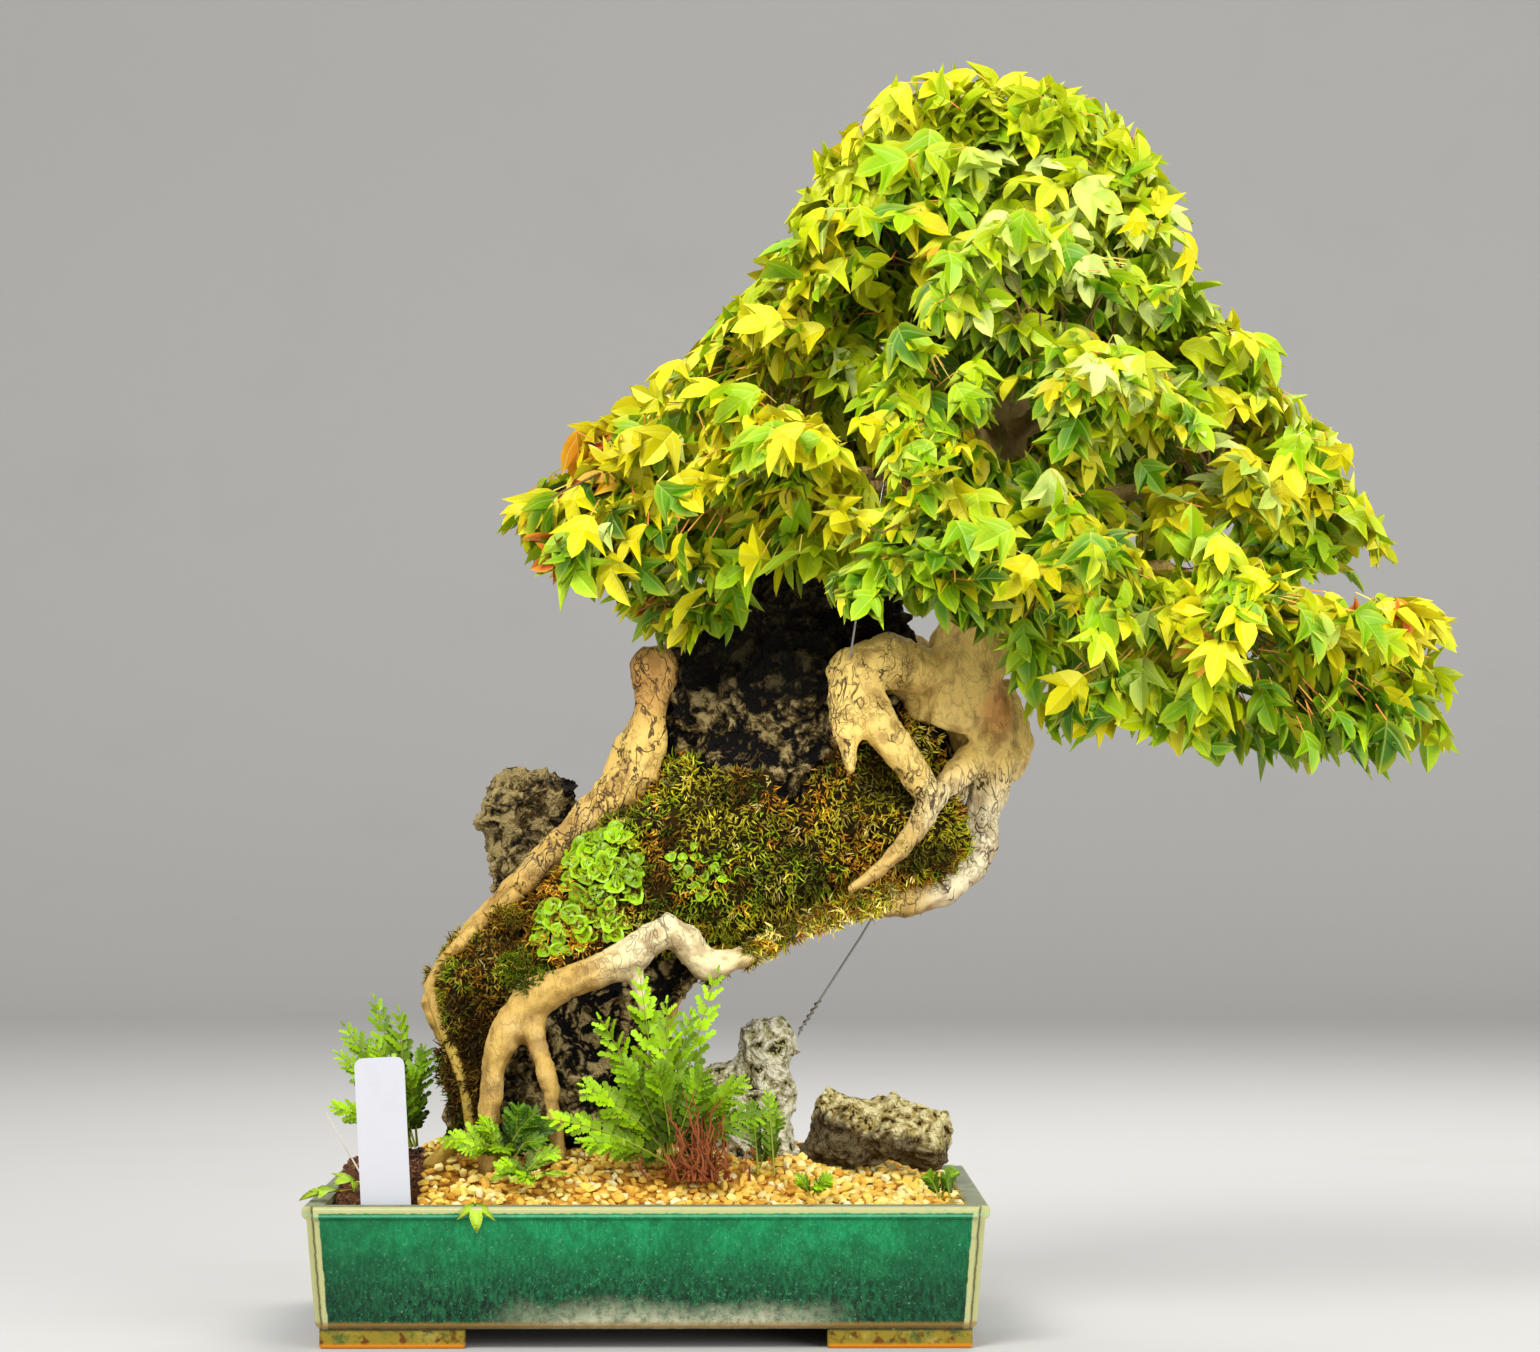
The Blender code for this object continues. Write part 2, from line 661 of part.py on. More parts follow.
def spread_spine(rows):
    # two balls more between each two stations
    spread = []
    for start, end in zip(rows, rows[1:]):
        for t in (0, 1 / 3, 2 / 3):
            spread.append(Vector(start) * (1 - t) + Vector(end) * t)
    spread.append(Vector(rows[-1]))
    return spread


def inside_outline(x, z, outline):
    inside = False
    for (x1, z1), (x2, z2) in zip(outline, outline[1:] + outline[:1]):
        if (z1 > z) != (z2 > z) and x < x1 + (z - z1) * (x2 - x1) / (z2 - z1):
            inside = not inside
    return inside


def rock_calm(place):
    # the rock is smoother where moss lies over it
    front = place.y < 0 and inside_outline(place.x, place.z, MOSS_OUTLINE)
    return 0.25 if front else 1


def whole_rock():
    balls = [ball("rock", *row[:3], row[3], row[4], row[3]) for row in spread_spine(ROCK_SPINE)]
    balls += [ball("lobe", *row) for row in ROCK_LOBES]
    rock = crag(fuse_by_voxels("rock", balls, ROCK_VOXEL), ROCK_CRAG, ROCK_GRAIN, rock_calm)
    return thin_out(rock, ROCK_TRIANGLES)


def cut_base(thing):
    # a flat underside, bedded in the gravel
    return combine(thing, [box("base", (-200, -150, -60), (300, 150, STONE_FOOT))], "DIFFERENCE")


def skin_patch(name, thing, wanted, lift, rim_lift):
    # a mat that follows a solid's surface where wanted(middle, normal) holds
    bm = bmesh.new()
    bm.from_mesh(thing.data)
    bm.normal_update()
    away = [face for face in bm.faces if not wanted(face.calc_center_median() / MM, face.normal)]
    bmesh.ops.delete(bm, geom=away, context="FACES")
    open_pinches(bm)
    bm.normal_update()
    under = {}
    pushes = {vert: vert.normal * MM for vert in bm.verts}
    rim = {vert for vert in bm.verts if vert.is_boundary}
    for vert, push in pushes.items():
        rough = 1 + 0.45 * noise.noise(vert.co / MM * 0.08)
        under[vert] = vert.co + push * (GAP + 0.2)
        vert.co += push * (GAP + 0.3 + (rim_lift if vert in rim else lift * rough))
    close_down(bm, under)
    return add_solid(name, bm)


def open_pinches(bm):
    # drops the faces round a corner where two parts of the rim touch
    while True:
        pinched = [vert for vert in bm.verts if sum(edge.is_boundary for edge in vert.link_edges) > 2]
        if not pinched:
            break
        around = {face for vert in pinched for face in vert.link_faces}
        bmesh.ops.delete(bm, geom=list(around), context="FACES")
    drop_all_but_last(bm, sorted(bodies_of(bm), key=len))


def make_moss(rock):
    def wanted(middle, normal):
        inside = inside_outline(middle.x, middle.z, MOSS_OUTLINE)
        return inside and normal.y < MOSS_FACING and middle.y < MOSS_BACK

    return skin_patch("moss", rock, wanted, MOSS_THICK, MOSS_RIM)


def close_down(bm, under):
    # a second skin at the places in under, joined to the first along its rim
    twins = {vert: bm.verts.new(place) for vert, place in under.items()}
    tops = list(bm.faces)
    rim = [loop for face in tops for loop in face.loops if loop.edge.is_boundary]
    walls = [(loop.vert, loop.link_loop_next.vert) for loop in rim]
    for face in tops:
        bm.faces.new([twins[vert] for vert in reversed(face.verts)])
    for start, end in walls:
        bm.faces.new([end, start, twins[start], twins[end]])


def make_stone(name, rows, grain):
    balls = [ball(name, *row) for row in rows]
    stone = crag(fuse_by_voxels(name, balls, STONE_VOXEL), STONE_CRAG, grain)
    return cut_base(thin_out(stone, STONE_TRIANGLES))


# Trunk, roots and limbs

def nearest_on_trunk(height):
    route = smooth_route(TRUNK, 10)
    return min(route, key=lambda row: abs(row[2] - height))


def limb_rows(pad):
    x, y, z, across, *_, height = pad
    root = nearest_on_trunk(height)
    end = Vector((x, y, z))
    start = Vector(root[:3])
    end += (start - end).normalized() * across * 0.15
    rise = 0.16 * (end - start).length
    middle = start.lerp(end, 0.5) + Vector((0, 0, rise * (0.5 if z > height else 1)))
    thick = 3.2 + 0.012 * (end - start).length
    return [(*start, thick + 1.5), (*middle, thick), (*end, 2.4)]


def make_tree():
    # the trunk with its roots and limbs, grown as one piece
    trunk = tube("tree", TRUNK, 26, 8, ROOT_WAVER)
    grown = []
    for name, rows in ROOTS.items():
        sides = 8 if max(row[3] for row in rows) > 8 else 6
        grown.append(tube(name, rows, ROOT_STEP, sides, ROOT_WAVER))
    for name, pad in PADS.items():
        grown.append(tube(name, limb_rows(pad), LIMB_STEP, 6))
    keep_largest(combine(trunk, grown, "UNION", crossing=True))
    thin_out(trunk, TREE_TRIANGLES)
    burls = [ball("burl", *row, 6) for row in BURLS]
    return keep_largest(combine(trunk, burls, "UNION", crossing=True))


# Foliage

def leaf_outline(length, droop, fold):
    # three lobes, the middle one longest; the midrib runs along +Y
    side_tip = (0.47, 0.46)
    notch = (0.18, 0.56)
    outline = [(0, 0), side_tip, notch, (0, 1), (-notch[0], notch[1]), (-side_tip[0], side_tip[1])]
    corners = []
    for x, y in outline:
        z = -droop * y * y - fold * abs(x)
        corners.append(Vector((x, y, z)) * length * MM)
    return corners


def leaf_mesh(length, thick, droop=0.10, fold=0.35):
    bm = bmesh.new()
    verts = [bm.verts.new(corner) for corner in leaf_outline(length, droop, fold)]
    for corners in ((0, 1, 5), (5, 1, 2), (5, 2, 4), (4, 2, 3)):
        bm.faces.new([verts[number] for number in corners])
    bm.normal_update()
    under = {}
    for vert in verts:
        half = vert.normal * thick / 2 * MM
        under[vert] = vert.co - half
        vert.co += half
    close_down(bm, under)
    bmesh.ops.recalc_face_normals(bm, faces=bm.faces)
    bmesh.ops.triangulate(bm, faces=bm.faces)
    bm.verts.index_update()
    points = [vert.co.copy() for vert in bm.verts]
    faces = [[vert.index for vert in face.verts] for face in bm.faces]
    bm.free()
    return points, faces


def leaf_frame(place, along, outward):
    # local Y along the midrib, local Z away from the pad
    side = along.cross(outward).normalized()
    face = side.cross(along).normalized()
    frame = Matrix((side, along, face)).transposed().to_4x4()
    frame.translation = place
    return frame


def pad_core(name, pad, number):
    x, y, z, across, deep, tall, *_ = pad
    bm = bmesh.new()
    bmesh.ops.create_uvsphere(bm, u_segments=6, v_segments=4, radius=1)
    for vert in bm.verts:
        rough = 1 + 0.18 * noise.noise(vert.co * 1.7 + Vector((number, 0, 0)))
        flat = 0.75 if vert.co.z < 0 else 1
        size = Vector((across, deep, tall * flat)) * CORE_SHARE * rough
        vert.co = (Vector((x, y, z)) + Vector(a * b for a, b in zip(vert.co, size))) * MM
    return add_solid(name, bm)


def make_cores(tree_clear):
    # each core is cut clear of the ones made before it and of the limbs
    cores = {}
    for number, (name, pad) in enumerate(PADS.items()):
        core = pad_core(f"spray_{name}", pad, number)
        near = [other for other in cores.values() if tree_of(core).overlap(tree_of(other))]
        wide = [swollen(other, CORE_GAP, "wide") for other in near]
        if wide:
            combine(core, wide, "DIFFERENCE")
            keep_largest(core)
        cores[name] = core
    for core in cores.values():
        combine(core, [tree_clear], "DIFFERENCE", keep=True)
        keep_largest(core)
    return cores


def leaf_place(pad, number, draw):
    # the leaves' roots wind down over the pad, evenly spread but for a small shift
    x, y, z, across, deep, tall, leaves, _ = pad
    turn = number * math.pi * (3 - math.sqrt(5)) + draw.uniform(-0.5, 0.5)
    high = 1 - LEAF_REACH_DOWN * (number + draw.uniform(0.1, 0.9)) / leaves
    wide = math.sqrt(max(0, 1 - high * high))
    way = Vector((math.cos(turn) * wide, math.sin(turn) * wide, high))
    size = Vector((across, deep, tall)) * CORE_SHARE * 0.9
    spot = Vector((x, y, z)) + Vector(a * b for a, b in zip(way, size))
    outward = Vector(a / b for a, b in zip(way, (across, deep, tall))).normalized()
    return spot * MM, outward


def leaf_direction(outward, draw):
    # leaves hang outwards and down, like shingles
    down = Vector((0, 0, -1))
    slope = down - outward * down.dot(outward)
    if slope.length < 0.35:
        angle = draw.uniform(0, 2 * math.pi)
        slope = Vector((math.cos(angle), math.sin(angle), -0.4))
    spin = Matrix.Rotation(draw.uniform(-0.7, 0.7), 3, outward)
    return (spin @ slope.normalized() * 0.7 + outward * draw.uniform(0.25, 0.75)).normalized()


def place_leaves(core, pad, others, thin, fat, draw):
    own = tree_of(core)
    leaves = []
    trials = []
    for number in range(pad[6]):
        for _ in range(LEAF_TRIES):
            spot, outward = leaf_place(pad, number, draw)
            along = leaf_direction(outward, draw)
            frame = leaf_frame(spot, along, outward) @ Matrix.Scale(draw.uniform(0.82, 1.08), 4)
            trial = BVHTree.FromPolygons([frame @ corner for corner in fat[0]], fat[1])
            if not trial.overlap(own) or any(trial.overlap(other) for other in others + trials):
                continue
            leaves.append([frame @ corner for corner in thin[0]])
            trials.append(trial)
            break
    return leaves


def make_spray(core, pad, others, thin, fat, number):
    solids = []
    for corners in place_leaves(core, pad, others, thin, fat, random.Random(40 + number)):
        mesh = bpy.data.meshes.new("leaf")
        mesh.from_pydata(corners, [], thin[1])
        leaf = bpy.data.objects.new("leaf", mesh)
        bpy.context.scene.collection.objects.link(leaf)
        solids.append(leaf)
    combine(core, solids, "UNION", crossing=True)
    return keep_largest(core)


def make_sprays(tree_clear, obstacles):
    cores = make_cores(tree_clear)
    thin = leaf_mesh(LEAF_LENGTH, LEAF_THICK)
    fat = leaf_mesh(LEAF_LENGTH, LEAF_THICK + LEAF_CLEAR)
    fixed = [tree_of(tree_clear), *[tree_of(thing) for thing in obstacles]]
    sprays = []
    for number, (name, pad) in enumerate(PADS.items()):
        others = fixed + [tree_of(core) for key, core in cores.items() if key != name]
        sprays.append(make_spray(cores[name], pad, others, thin, fat, number))
    return sprays


# Small plants

def frond(name, root, tip, width, leaflets=4):
    # one flat arched blade: a narrow stalk, then leaflets cut on both sides of its rib
    root = Vector(root)
    along = Vector(tip) - root
    side = along.cross(Vector((0.15, -1, 0.1))).normalized()
    bm = bmesh.new()

    def corner(t, across):
        arch = Vector((0, -FROND_ARCH * math.sin(math.pi * t), 0))
        return bm.verts.new((root + along * t + arch + side * across) * MM)

    step = (1 - FIRST_LEAFLET) / leaflets
    rib = [corner(FIRST_LEAFLET + step * number, 0) for number in range(leaflets + 1)]
    foot = corner(0, 0)
    for sign in (-1, 1):
        cut = corner(0, sign * 1.6)
        bm.faces.new((foot, cut, rib[0])[::sign])
        for number in range(leaflets):
            t = FIRST_LEAFLET + step * number
            reach = width / 2 * math.sin(math.pi * min(1, 0.25 + 0.7 * t))
            leaflet = corner(t + step * 0.7, sign * reach)
            after = corner(t + step * 0.95, sign * max(1.4, reach * 0.28))
            bm.faces.new((rib[number], cut, leaflet)[::sign])
            bm.faces.new((rib[number], leaflet, after)[::sign])
            bm.faces.new((rib[number], after, rib[number + 1])[::sign])
            cut = after
    bm.normal_update()
    under = {}
    for vert in list(bm.verts):
        half = vert.normal * FROND_THICK / 2 * MM
        under[vert] = vert.co - half
        vert.co += half
    close_down(bm, under)
    return add_solid(name, bm)


def make_fern(name, root, tips, depth):
    # the fronds fan out of one crown, which stands in the gravel
    x, y, z = root
    crown = cylinder(name, x, y, z - depth, z + 4, 4.5, 7, 10)
    solids = []
    for number, tip in enumerate(tips):
        foot = (x, y + 11 * (0.5 - number / (len(tips) - 1)), z)
        solids.append(frond("frond", foot, tip[:3], tip[3]))
    return keep_largest(combine(crown, solids, "UNION", crossing=True))


def make_tuft():
    # dead stems of the old fern, fanned out from one crown
    x, y, z = STEM_TUFT
    draw = random.Random(9)
    crown = cylinder("dead_stems", x, y, z - 14, z + 4, 3, 6, 7)
    stems = []
    for number in range(TUFT_STEMS):
        angle = math.pi * (0.05 + 0.9 * number / (TUFT_STEMS - 1))
        reach = draw.uniform(8, 16)
        high = draw.uniform(18, 34)
        tip = (x + math.cos(angle) * reach * 1.4, y - math.sin(angle) * reach * 0.3, z + high)
        bend = (x + math.cos(angle) * reach, y - math.sin(angle) * reach * 0.3, z + high * 0.5)
        foot = (x + 4 * math.cos(angle), y - 3 * math.sin(angle), z)
        stems.append(tube("stem", [(*foot, 1.1), (*bend, 0.9), (*tip, 0.7)], 22, 4))
    return keep_largest(combine(crown, stems, "UNION", crossing=True))


def make_liverwort(moss):
    # overlapping cups on a small mound that lies against the moss
    surface = tree_of(moss)
    x0, z0, across, tall = CUP_PATCH
    draw = random.Random(5)
    turn = math.pi * (3 - math.sqrt(5))

    def lying(bm, x, z, lean, lift):
        hit, normal, _, _ = surface.ray_cast(Vector((x, -150, z)) * MM, Vector((0, 1, 0)))
        way = (normal + lean).normalized()
        tilt = Vector((0, 0, 1)).rotation_difference(way).to_matrix().to_4x4()
        bmesh.ops.transform(bm, matrix=Matrix.Translation(hit + way * lift * MM) @ tilt, verts=bm.verts)
        return bm

    bm = bmesh.new()
    bmesh.ops.create_uvsphere(bm, u_segments=7, v_segments=4, radius=1)
    bmesh.ops.scale(bm, vec=Vector((across, tall, 7)) * MM * 0.8, verts=bm.verts)
    mat = add_solid("liverwort", lying(bm, x0, z0, Vector((0, 0, 0)), 1))
    cups = []
    for number in range(CUPS):
        far = math.sqrt((number + 0.5) / CUPS) * 0.85
        x = x0 + math.cos(number * turn) * far * across
        z = z0 + math.sin(number * turn) * far * tall
        radius = draw.uniform(*CUP_RADIUS)
        bm = bmesh.new()
        bmesh.ops.create_cone(bm, cap_ends=True, segments=6, radius1=radius * 0.45 * MM,
                              radius2=radius * MM, depth=CUP_HEIGHT * MM)
        rim = max(bm.faces, key=lambda face: face.calc_center_median().z)
        middle = bmesh.ops.poke(bm, faces=[rim])["verts"][0]
        middle.co.z -= CUP_HOLLOW * MM
        cups.append(add_solid("cup", lying(bm, x, z, Vector((0, -0.6, 0.5)), 4)))
    return combine(mat, cups, "UNION", crossing=True)


# Tag and wires

def make_tag():
    wide, tall, thick = TAG_SIZE
    curve = bpy.data.curves.new("tag", "CURVE")
    curve.dimensions = "2D"
    curve.fill_mode = "BOTH"
    curve.extrude = thick / 2 * MM
    corners = [(-wide / 2, 0), (wide / 2, 0)]
    for side, start in ((1, 0), (-1, math.pi / 2)):
        for number in range(4):
            angle = start + math.pi / 2 * number / 3
            corners.append((side * (wide / 2 - TAG_CORNER) + TAG_CORNER * math.cos(angle),
                            tall - TAG_CORNER + TAG_CORNER * math.sin(angle)))
    spline = curve.splines.new("POLY")
    spline.points.add(len(corners) - 1)
    for knot, (x, y) in zip(spline.points, corners):
        knot.co = (x * MM, y * MM, 0, 1)
    spline.use_cyclic_u = True
    outline = bpy.data.objects.new("tag", curve)
    bpy.context.scene.collection.objects.link(outline)
    bpy.context.view_layer.update()
    graph = bpy.context.evaluated_depsgraph_get()
    mesh = bpy.data.meshes.new_from_object(outline.evaluated_get(graph))
    bpy.data.objects.remove(outline, do_unlink=True)
    bm = bmesh.new()
    bm.from_mesh(mesh)
    bmesh.ops.remove_doubles(bm, verts=bm.verts, dist=1e-6)
    stand = (Matrix.Translation(Vector(TAG_FOOT) * MM) @ Matrix.Rotation(math.radians(TAG_LEAN), 4, "Y")
             @ Matrix.Rotation(math.radians(93), 4, "X"))
    bmesh.ops.transform(bm, matrix=stand, verts=bm.verts)
    return add_solid("plant_tag", bm)


def make_wire(name, rows):
    return tube(name, [(*row, WIRE_RADIUS) for row in rows], 26, 6)


# Whole plant

def place_parts(parts):
    # the finished parts hang on one empty that carries the plant's origin
    group = new_group("maple_bonsai")
    origin = bpy.data.objects.new("plant_origin", None)
    origin.location = (-WHOLE_MIDDLE[0] * MM, -WHOLE_MIDDLE[1] * MM, 0)
    group.objects.link(origin)
    for thing, look in parts:
        for old in list(thing.users_collection):
            old.objects.unlink(thing)
        group.objects.link(thing)
        thing.parent = origin
        thing.data.materials.clear()
        thing.data.materials.append(finish(look))
        thing.data.set_sharp_from_angle(angle=math.radians(SHARP_ANGLE))


def make_plant():
    clear_scene()
    tree = make_tree()
    tree_clear = swollen(tree, GAP + TREE_SLACK, "tree_clear")
    tree_near = swollen(tree, NEAR, "tree_near")
    rock = cut_base(whole_rock())
    rock_clear = swollen(rock, GAP, "rock_clear")
    rock_near = swollen(rock, NEAR, "rock_near")
    moss = make_moss(rock)
    cut_clear(moss, [tree_clear, rock_clear])
    cut_clear(rock, [tree_clear, tree_near])
    tall_stone = keep_largest(make_stone("tall_stone", TALL_STONE, TALL_GRAIN))
    tall_clear = swollen(tall_stone, GAP, "tall_clear")
    low_stone = cut_clear(make_stone("low_stone", LOW_STONE, LOW_GRAIN), [tall_clear])
    front_fern = make_fern("front_fern", FRONT_FERN, FRONT_FRONDS, FRONT_FERN_DEPTH)
    left_fern = make_fern("left_fern", LEFT_FERN, LEFT_FRONDS, LEFT_FERN_DEPTH)
    dead_stems = make_tuft()
    liverwort = make_liverwort(moss)
    around = [swollen(moss, GAP, "moss_clear"), copy_solid(tree_clear, "roots_clear")]
    combine(liverwort, around, "DIFFERENCE")
    keep_largest(liverwort)
    tag = make_tag()
    wires = [make_wire("low_wire", LOW_WIRE), make_wire("high_wire", HIGH_WIRE)]
    for wire in wires:
        cut_clear(wire, [tree_clear, tall_clear])
    soil = sunk_clear(make_soil(), [left_fern, tag], [tree_clear])
    cutters = [tree_clear, tall_clear, rock_clear, rock_near]
    gravel = sunk_clear(make_gravel(), [low_stone, front_fern, dead_stems], cutters)
    sprays = make_sprays(tree_clear, [rock, *wires])
    for cutter in (tree_clear, tree_near, rock_clear, rock_near, tall_clear):
        bpy.data.objects.remove(cutter, do_unlink=True)
    parts = [(make_pot(), "green_glaze"), (soil, "earth"), (gravel, "gravel"), (rock, "crag_rock"),
             (moss, "moss"), (tree, "bark"), (front_fern, "fern"), (left_fern, "fern"),
             (dead_stems, "dry_stem"), (liverwort, "liverwort"), (tall_stone, "pale_stone"),
             (low_stone, "pale_stone"), (tag, "white_tag"), *[(wire, "wire") for wire in wires]]
    parts += [(screen, "screen") for screen in make_screens()]
    parts += [(spray, "maple_leaf") for spray in sprays]
    place_parts(parts)


make_plant()
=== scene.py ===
import math
import random

import bpy
import numpy as np
from mathutils import Matrix, Vector, noise
from mathutils.bvhtree import BVHTree


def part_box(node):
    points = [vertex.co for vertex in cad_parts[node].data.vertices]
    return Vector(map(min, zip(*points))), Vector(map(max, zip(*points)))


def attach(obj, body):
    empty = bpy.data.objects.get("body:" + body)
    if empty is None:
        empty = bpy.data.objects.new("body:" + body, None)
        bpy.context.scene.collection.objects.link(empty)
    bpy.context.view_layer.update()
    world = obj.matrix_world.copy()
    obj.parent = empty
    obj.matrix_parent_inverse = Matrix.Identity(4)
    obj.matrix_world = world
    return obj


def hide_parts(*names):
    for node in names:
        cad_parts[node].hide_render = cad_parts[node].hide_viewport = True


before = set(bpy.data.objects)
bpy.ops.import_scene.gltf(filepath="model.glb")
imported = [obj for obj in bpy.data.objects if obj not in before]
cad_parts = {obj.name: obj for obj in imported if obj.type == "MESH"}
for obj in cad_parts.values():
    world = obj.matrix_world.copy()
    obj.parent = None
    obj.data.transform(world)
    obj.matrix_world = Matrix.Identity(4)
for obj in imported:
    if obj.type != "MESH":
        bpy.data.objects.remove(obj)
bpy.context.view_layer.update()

mm = 0.001
potLow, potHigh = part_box("pot")
potMiddle = (Vector(potLow) + Vector(potHigh)) / 2


def spot(x, y, z):  # millimetres from the middle of the pot, at the height of its feet
    return Vector((potMiddle.x + x * mm, potMiddle.y + y * mm, z * mm))


def paint(red, green, blue, more=1.0):  # a colour given in display values, 0 to 255
    return tuple((part / 255) ** 2.2 for part in (red, green, blue)) + (more,)


# small helpers for objects


def deselectAll():
    if bpy.context.mode != "OBJECT":
        bpy.ops.object.mode_set(mode="OBJECT")
    bpy.ops.object.select_all(action="DESELECT")


def pick(thing):
    deselectAll()
    thing.select_set(True)
    bpy.context.view_layer.objects.active = thing
    return thing


def newest(name):
    thing = bpy.context.active_object
    thing.name = name
    thing.data.name = name
    return thing


def settle(thing):
    pick(thing)
    bpy.ops.object.transform_apply(location=True, rotation=True, scale=True)
    return thing


def finishWith(thing, kind, **settings):
    pick(thing)
    change = thing.modifiers.new(kind.lower(), kind)
    for key, value in settings.items():
        setattr(change, key, value)
    bpy.ops.object.modifier_apply(modifier=change.name)
    return thing


def editAll(thing):
    pick(thing)
    bpy.ops.object.mode_set(mode="EDIT")
    bpy.ops.mesh.select_all(action="SELECT")


def leaveEdit(thing):
    bpy.ops.object.mode_set(mode="OBJECT")
    return thing


def mergedCopy(nodeName, name):
    thing = bpy.data.objects.new(name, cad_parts[nodeName].data.copy())
    bpy.context.scene.collection.objects.link(thing)
    thing.data.materials.clear()
    pick(thing)
    bpy.ops.mesh.customdata_custom_splitnormals_clear()
    editAll(thing)
    bpy.ops.mesh.remove_doubles(threshold=0.000002)
    return leaveEdit(thing)


def smoothed(thing, angle=180):
    pick(thing)
    bpy.ops.object.shade_smooth_by_angle(angle=math.radians(angle))
    return thing


def pointsOf(thing, field="co"):
    found = np.empty(len(thing.data.vertices) * 3)
    thing.data.vertices.foreach_get(field, found)
    return found.reshape(-1, 3)


def normalsOf(thing):
    return pointsOf(thing, "normal")


def trianglesOf(thing):
    thing.data.calc_loop_triangles()
    found = np.empty(len(thing.data.loop_triangles) * 3, dtype=np.int64)
    thing.data.loop_triangles.foreach_get("vertices", found)
    return found.reshape(-1, 3)


def mark(thing, name, values):  # one number or colour kept on each vertex
    values = np.asarray(values, dtype=np.float32)
    kinds = {1: ("FLOAT", "value"), 3: ("FLOAT_VECTOR", "vector"), 4: ("FLOAT_COLOR", "color")}
    kind, field = kinds[1 if values.ndim == 1 else values.shape[1]]
    thing.data.attributes.new(name, kind, "POINT").data.foreach_set(field, values.ravel())


def handOver(piece, material, slotName, *nodes):
    piece.data.materials.clear()
    piece.data.materials.append(material)
    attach(piece, "root")
    if nodes:
        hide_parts(*nodes)
    print(f"{piece.name}: {len(trianglesOf(piece))} triangles")
    return piece


# copies of small models, turned, sized and joined in one mesh


def modelFrom(thing, **marks):
    model = {"points": pointsOf(thing), "faces": trianglesOf(thing), "marks": marks}
    bpy.data.objects.remove(thing, do_unlink=True)
    return model


def scattered(name, models, copies, angle=180):
    # copies: rows of model number, place, turn with the sizes in it, and marks for the whole copy
    points, faces, marks = [], [], {}
    start = 0
    for number, place, turn, own in copies:
        model = models[number]
        count = len(model["points"])
        points.append(model["points"] @ np.asarray(turn).T + np.asarray(place))
        faces.append(model["faces"] + start)
        for key, value in model["marks"].items():
            marks.setdefault(key, []).append(value)
        for key, value in own.items():
            marks.setdefault(key, []).append(np.repeat(np.atleast_2d(value), count, axis=0))
        start += count
    mesh = bpy.data.meshes.new(name)
    mesh.from_pydata(np.concatenate(points).tolist(), [], np.concatenate(faces).tolist())
    thing = bpy.data.objects.new(name, mesh)
    bpy.context.scene.collection.objects.link(thing)
    for key, values in marks.items():
        values = np.concatenate(values)
        mark(thing, key, values[:, 0] if values.ndim == 2 and values.shape[1] == 1 else values)
    return smoothed(thing, angle)


def joined(name, things):
    deselectAll()
    for thing in things:
        thing.select_set(True)
    bpy.context.view_layer.objects.active = things[0]
    bpy.ops.object.join()
    return newest(name)


def spreadOver(thing, count, draw, keep=None):
    # random places over the faces, even by area: place, normal
    points, faces = pointsOf(thing), trianglesOf(thing)
    first, second, third = (points[faces[:, side]] for side in range(3))
    cross = np.cross(second - first, third - first)
    area = np.linalg.norm(cross, axis=1)
    normal = cross / np.maximum(area, 1e-12)[:, None]
    if keep is not None:
        area = area * keep((first + second + third) / 3, normal)
    chosen = draw.choice(len(faces), size=count, p=area / area.sum())
    along, across = draw.random(count), draw.random(count)
    over = along + across > 1
    along[over], across[over] = 1 - along[over], 1 - across[over]
    place = (first[chosen] + (second - first)[chosen] * along[:, None]
             + (third - first)[chosen] * across[:, None])
    return place, normal[chosen]


def wellApart(places, gap):
    # the numbers of those that keep the gap to all that come before them
    cells, kept = {}, []
    for number, place in enumerate(places):
        cell = tuple(np.floor(place / gap).astype(int))
        near = (cells.get((cell[0] + i, cell[1] + j, cell[2] + k), ())
                for i in (-1, 0, 1) for j in (-1, 0, 1) for k in (-1, 0, 1))
        if all(np.sum((places[other] - place) ** 2) > gap * gap for group in near for other in group):
            cells.setdefault(cell, []).append(number)
            kept.append(number)
    return kept


def surfaceOf(*things):  # a few bodies as one, for rays from the front
    points, faces, start = [], [], 0
    for thing in things:
        points.append(pointsOf(thing))
        faces.append(trianglesOf(thing) + start)
        start += len(points[-1])
    corners = [Vector(point) for point in np.concatenate(points)]
    return BVHTree.FromPolygons(corners, np.concatenate(faces).tolist())


def frontOf(surface, x, z):
    return surface.ray_cast(spot(x, -300, z), Vector((0, 1, 0)))[:2]


def standing(aim):
    # a turn whose z goes along the aim
    return np.array(Vector((0, 0, 1)).rotation_difference(aim.normalized()).to_matrix())


def spun(draw):
    return np.array(Matrix.Rotation(draw.uniform(0, 6.28), 3, "Z"))


def within(draw, x, z, wide, tall):
    # a random place in an oval seen from the front
    angle, reach = draw.uniform(0, 6.28), math.sqrt(draw.random())
    return x + math.cos(angle) * reach * wide, z + math.sin(angle) * reach * tall


def turnTo(along, up):
    # a turn whose y goes along and whose z is near up
    along = Vector(along).normalized()
    side = along.cross(Vector(up))
    if side.length < 1e-6:
        side = along.orthogonal()
    side.normalize()
    return np.array([side, along, side.cross(along)]).T


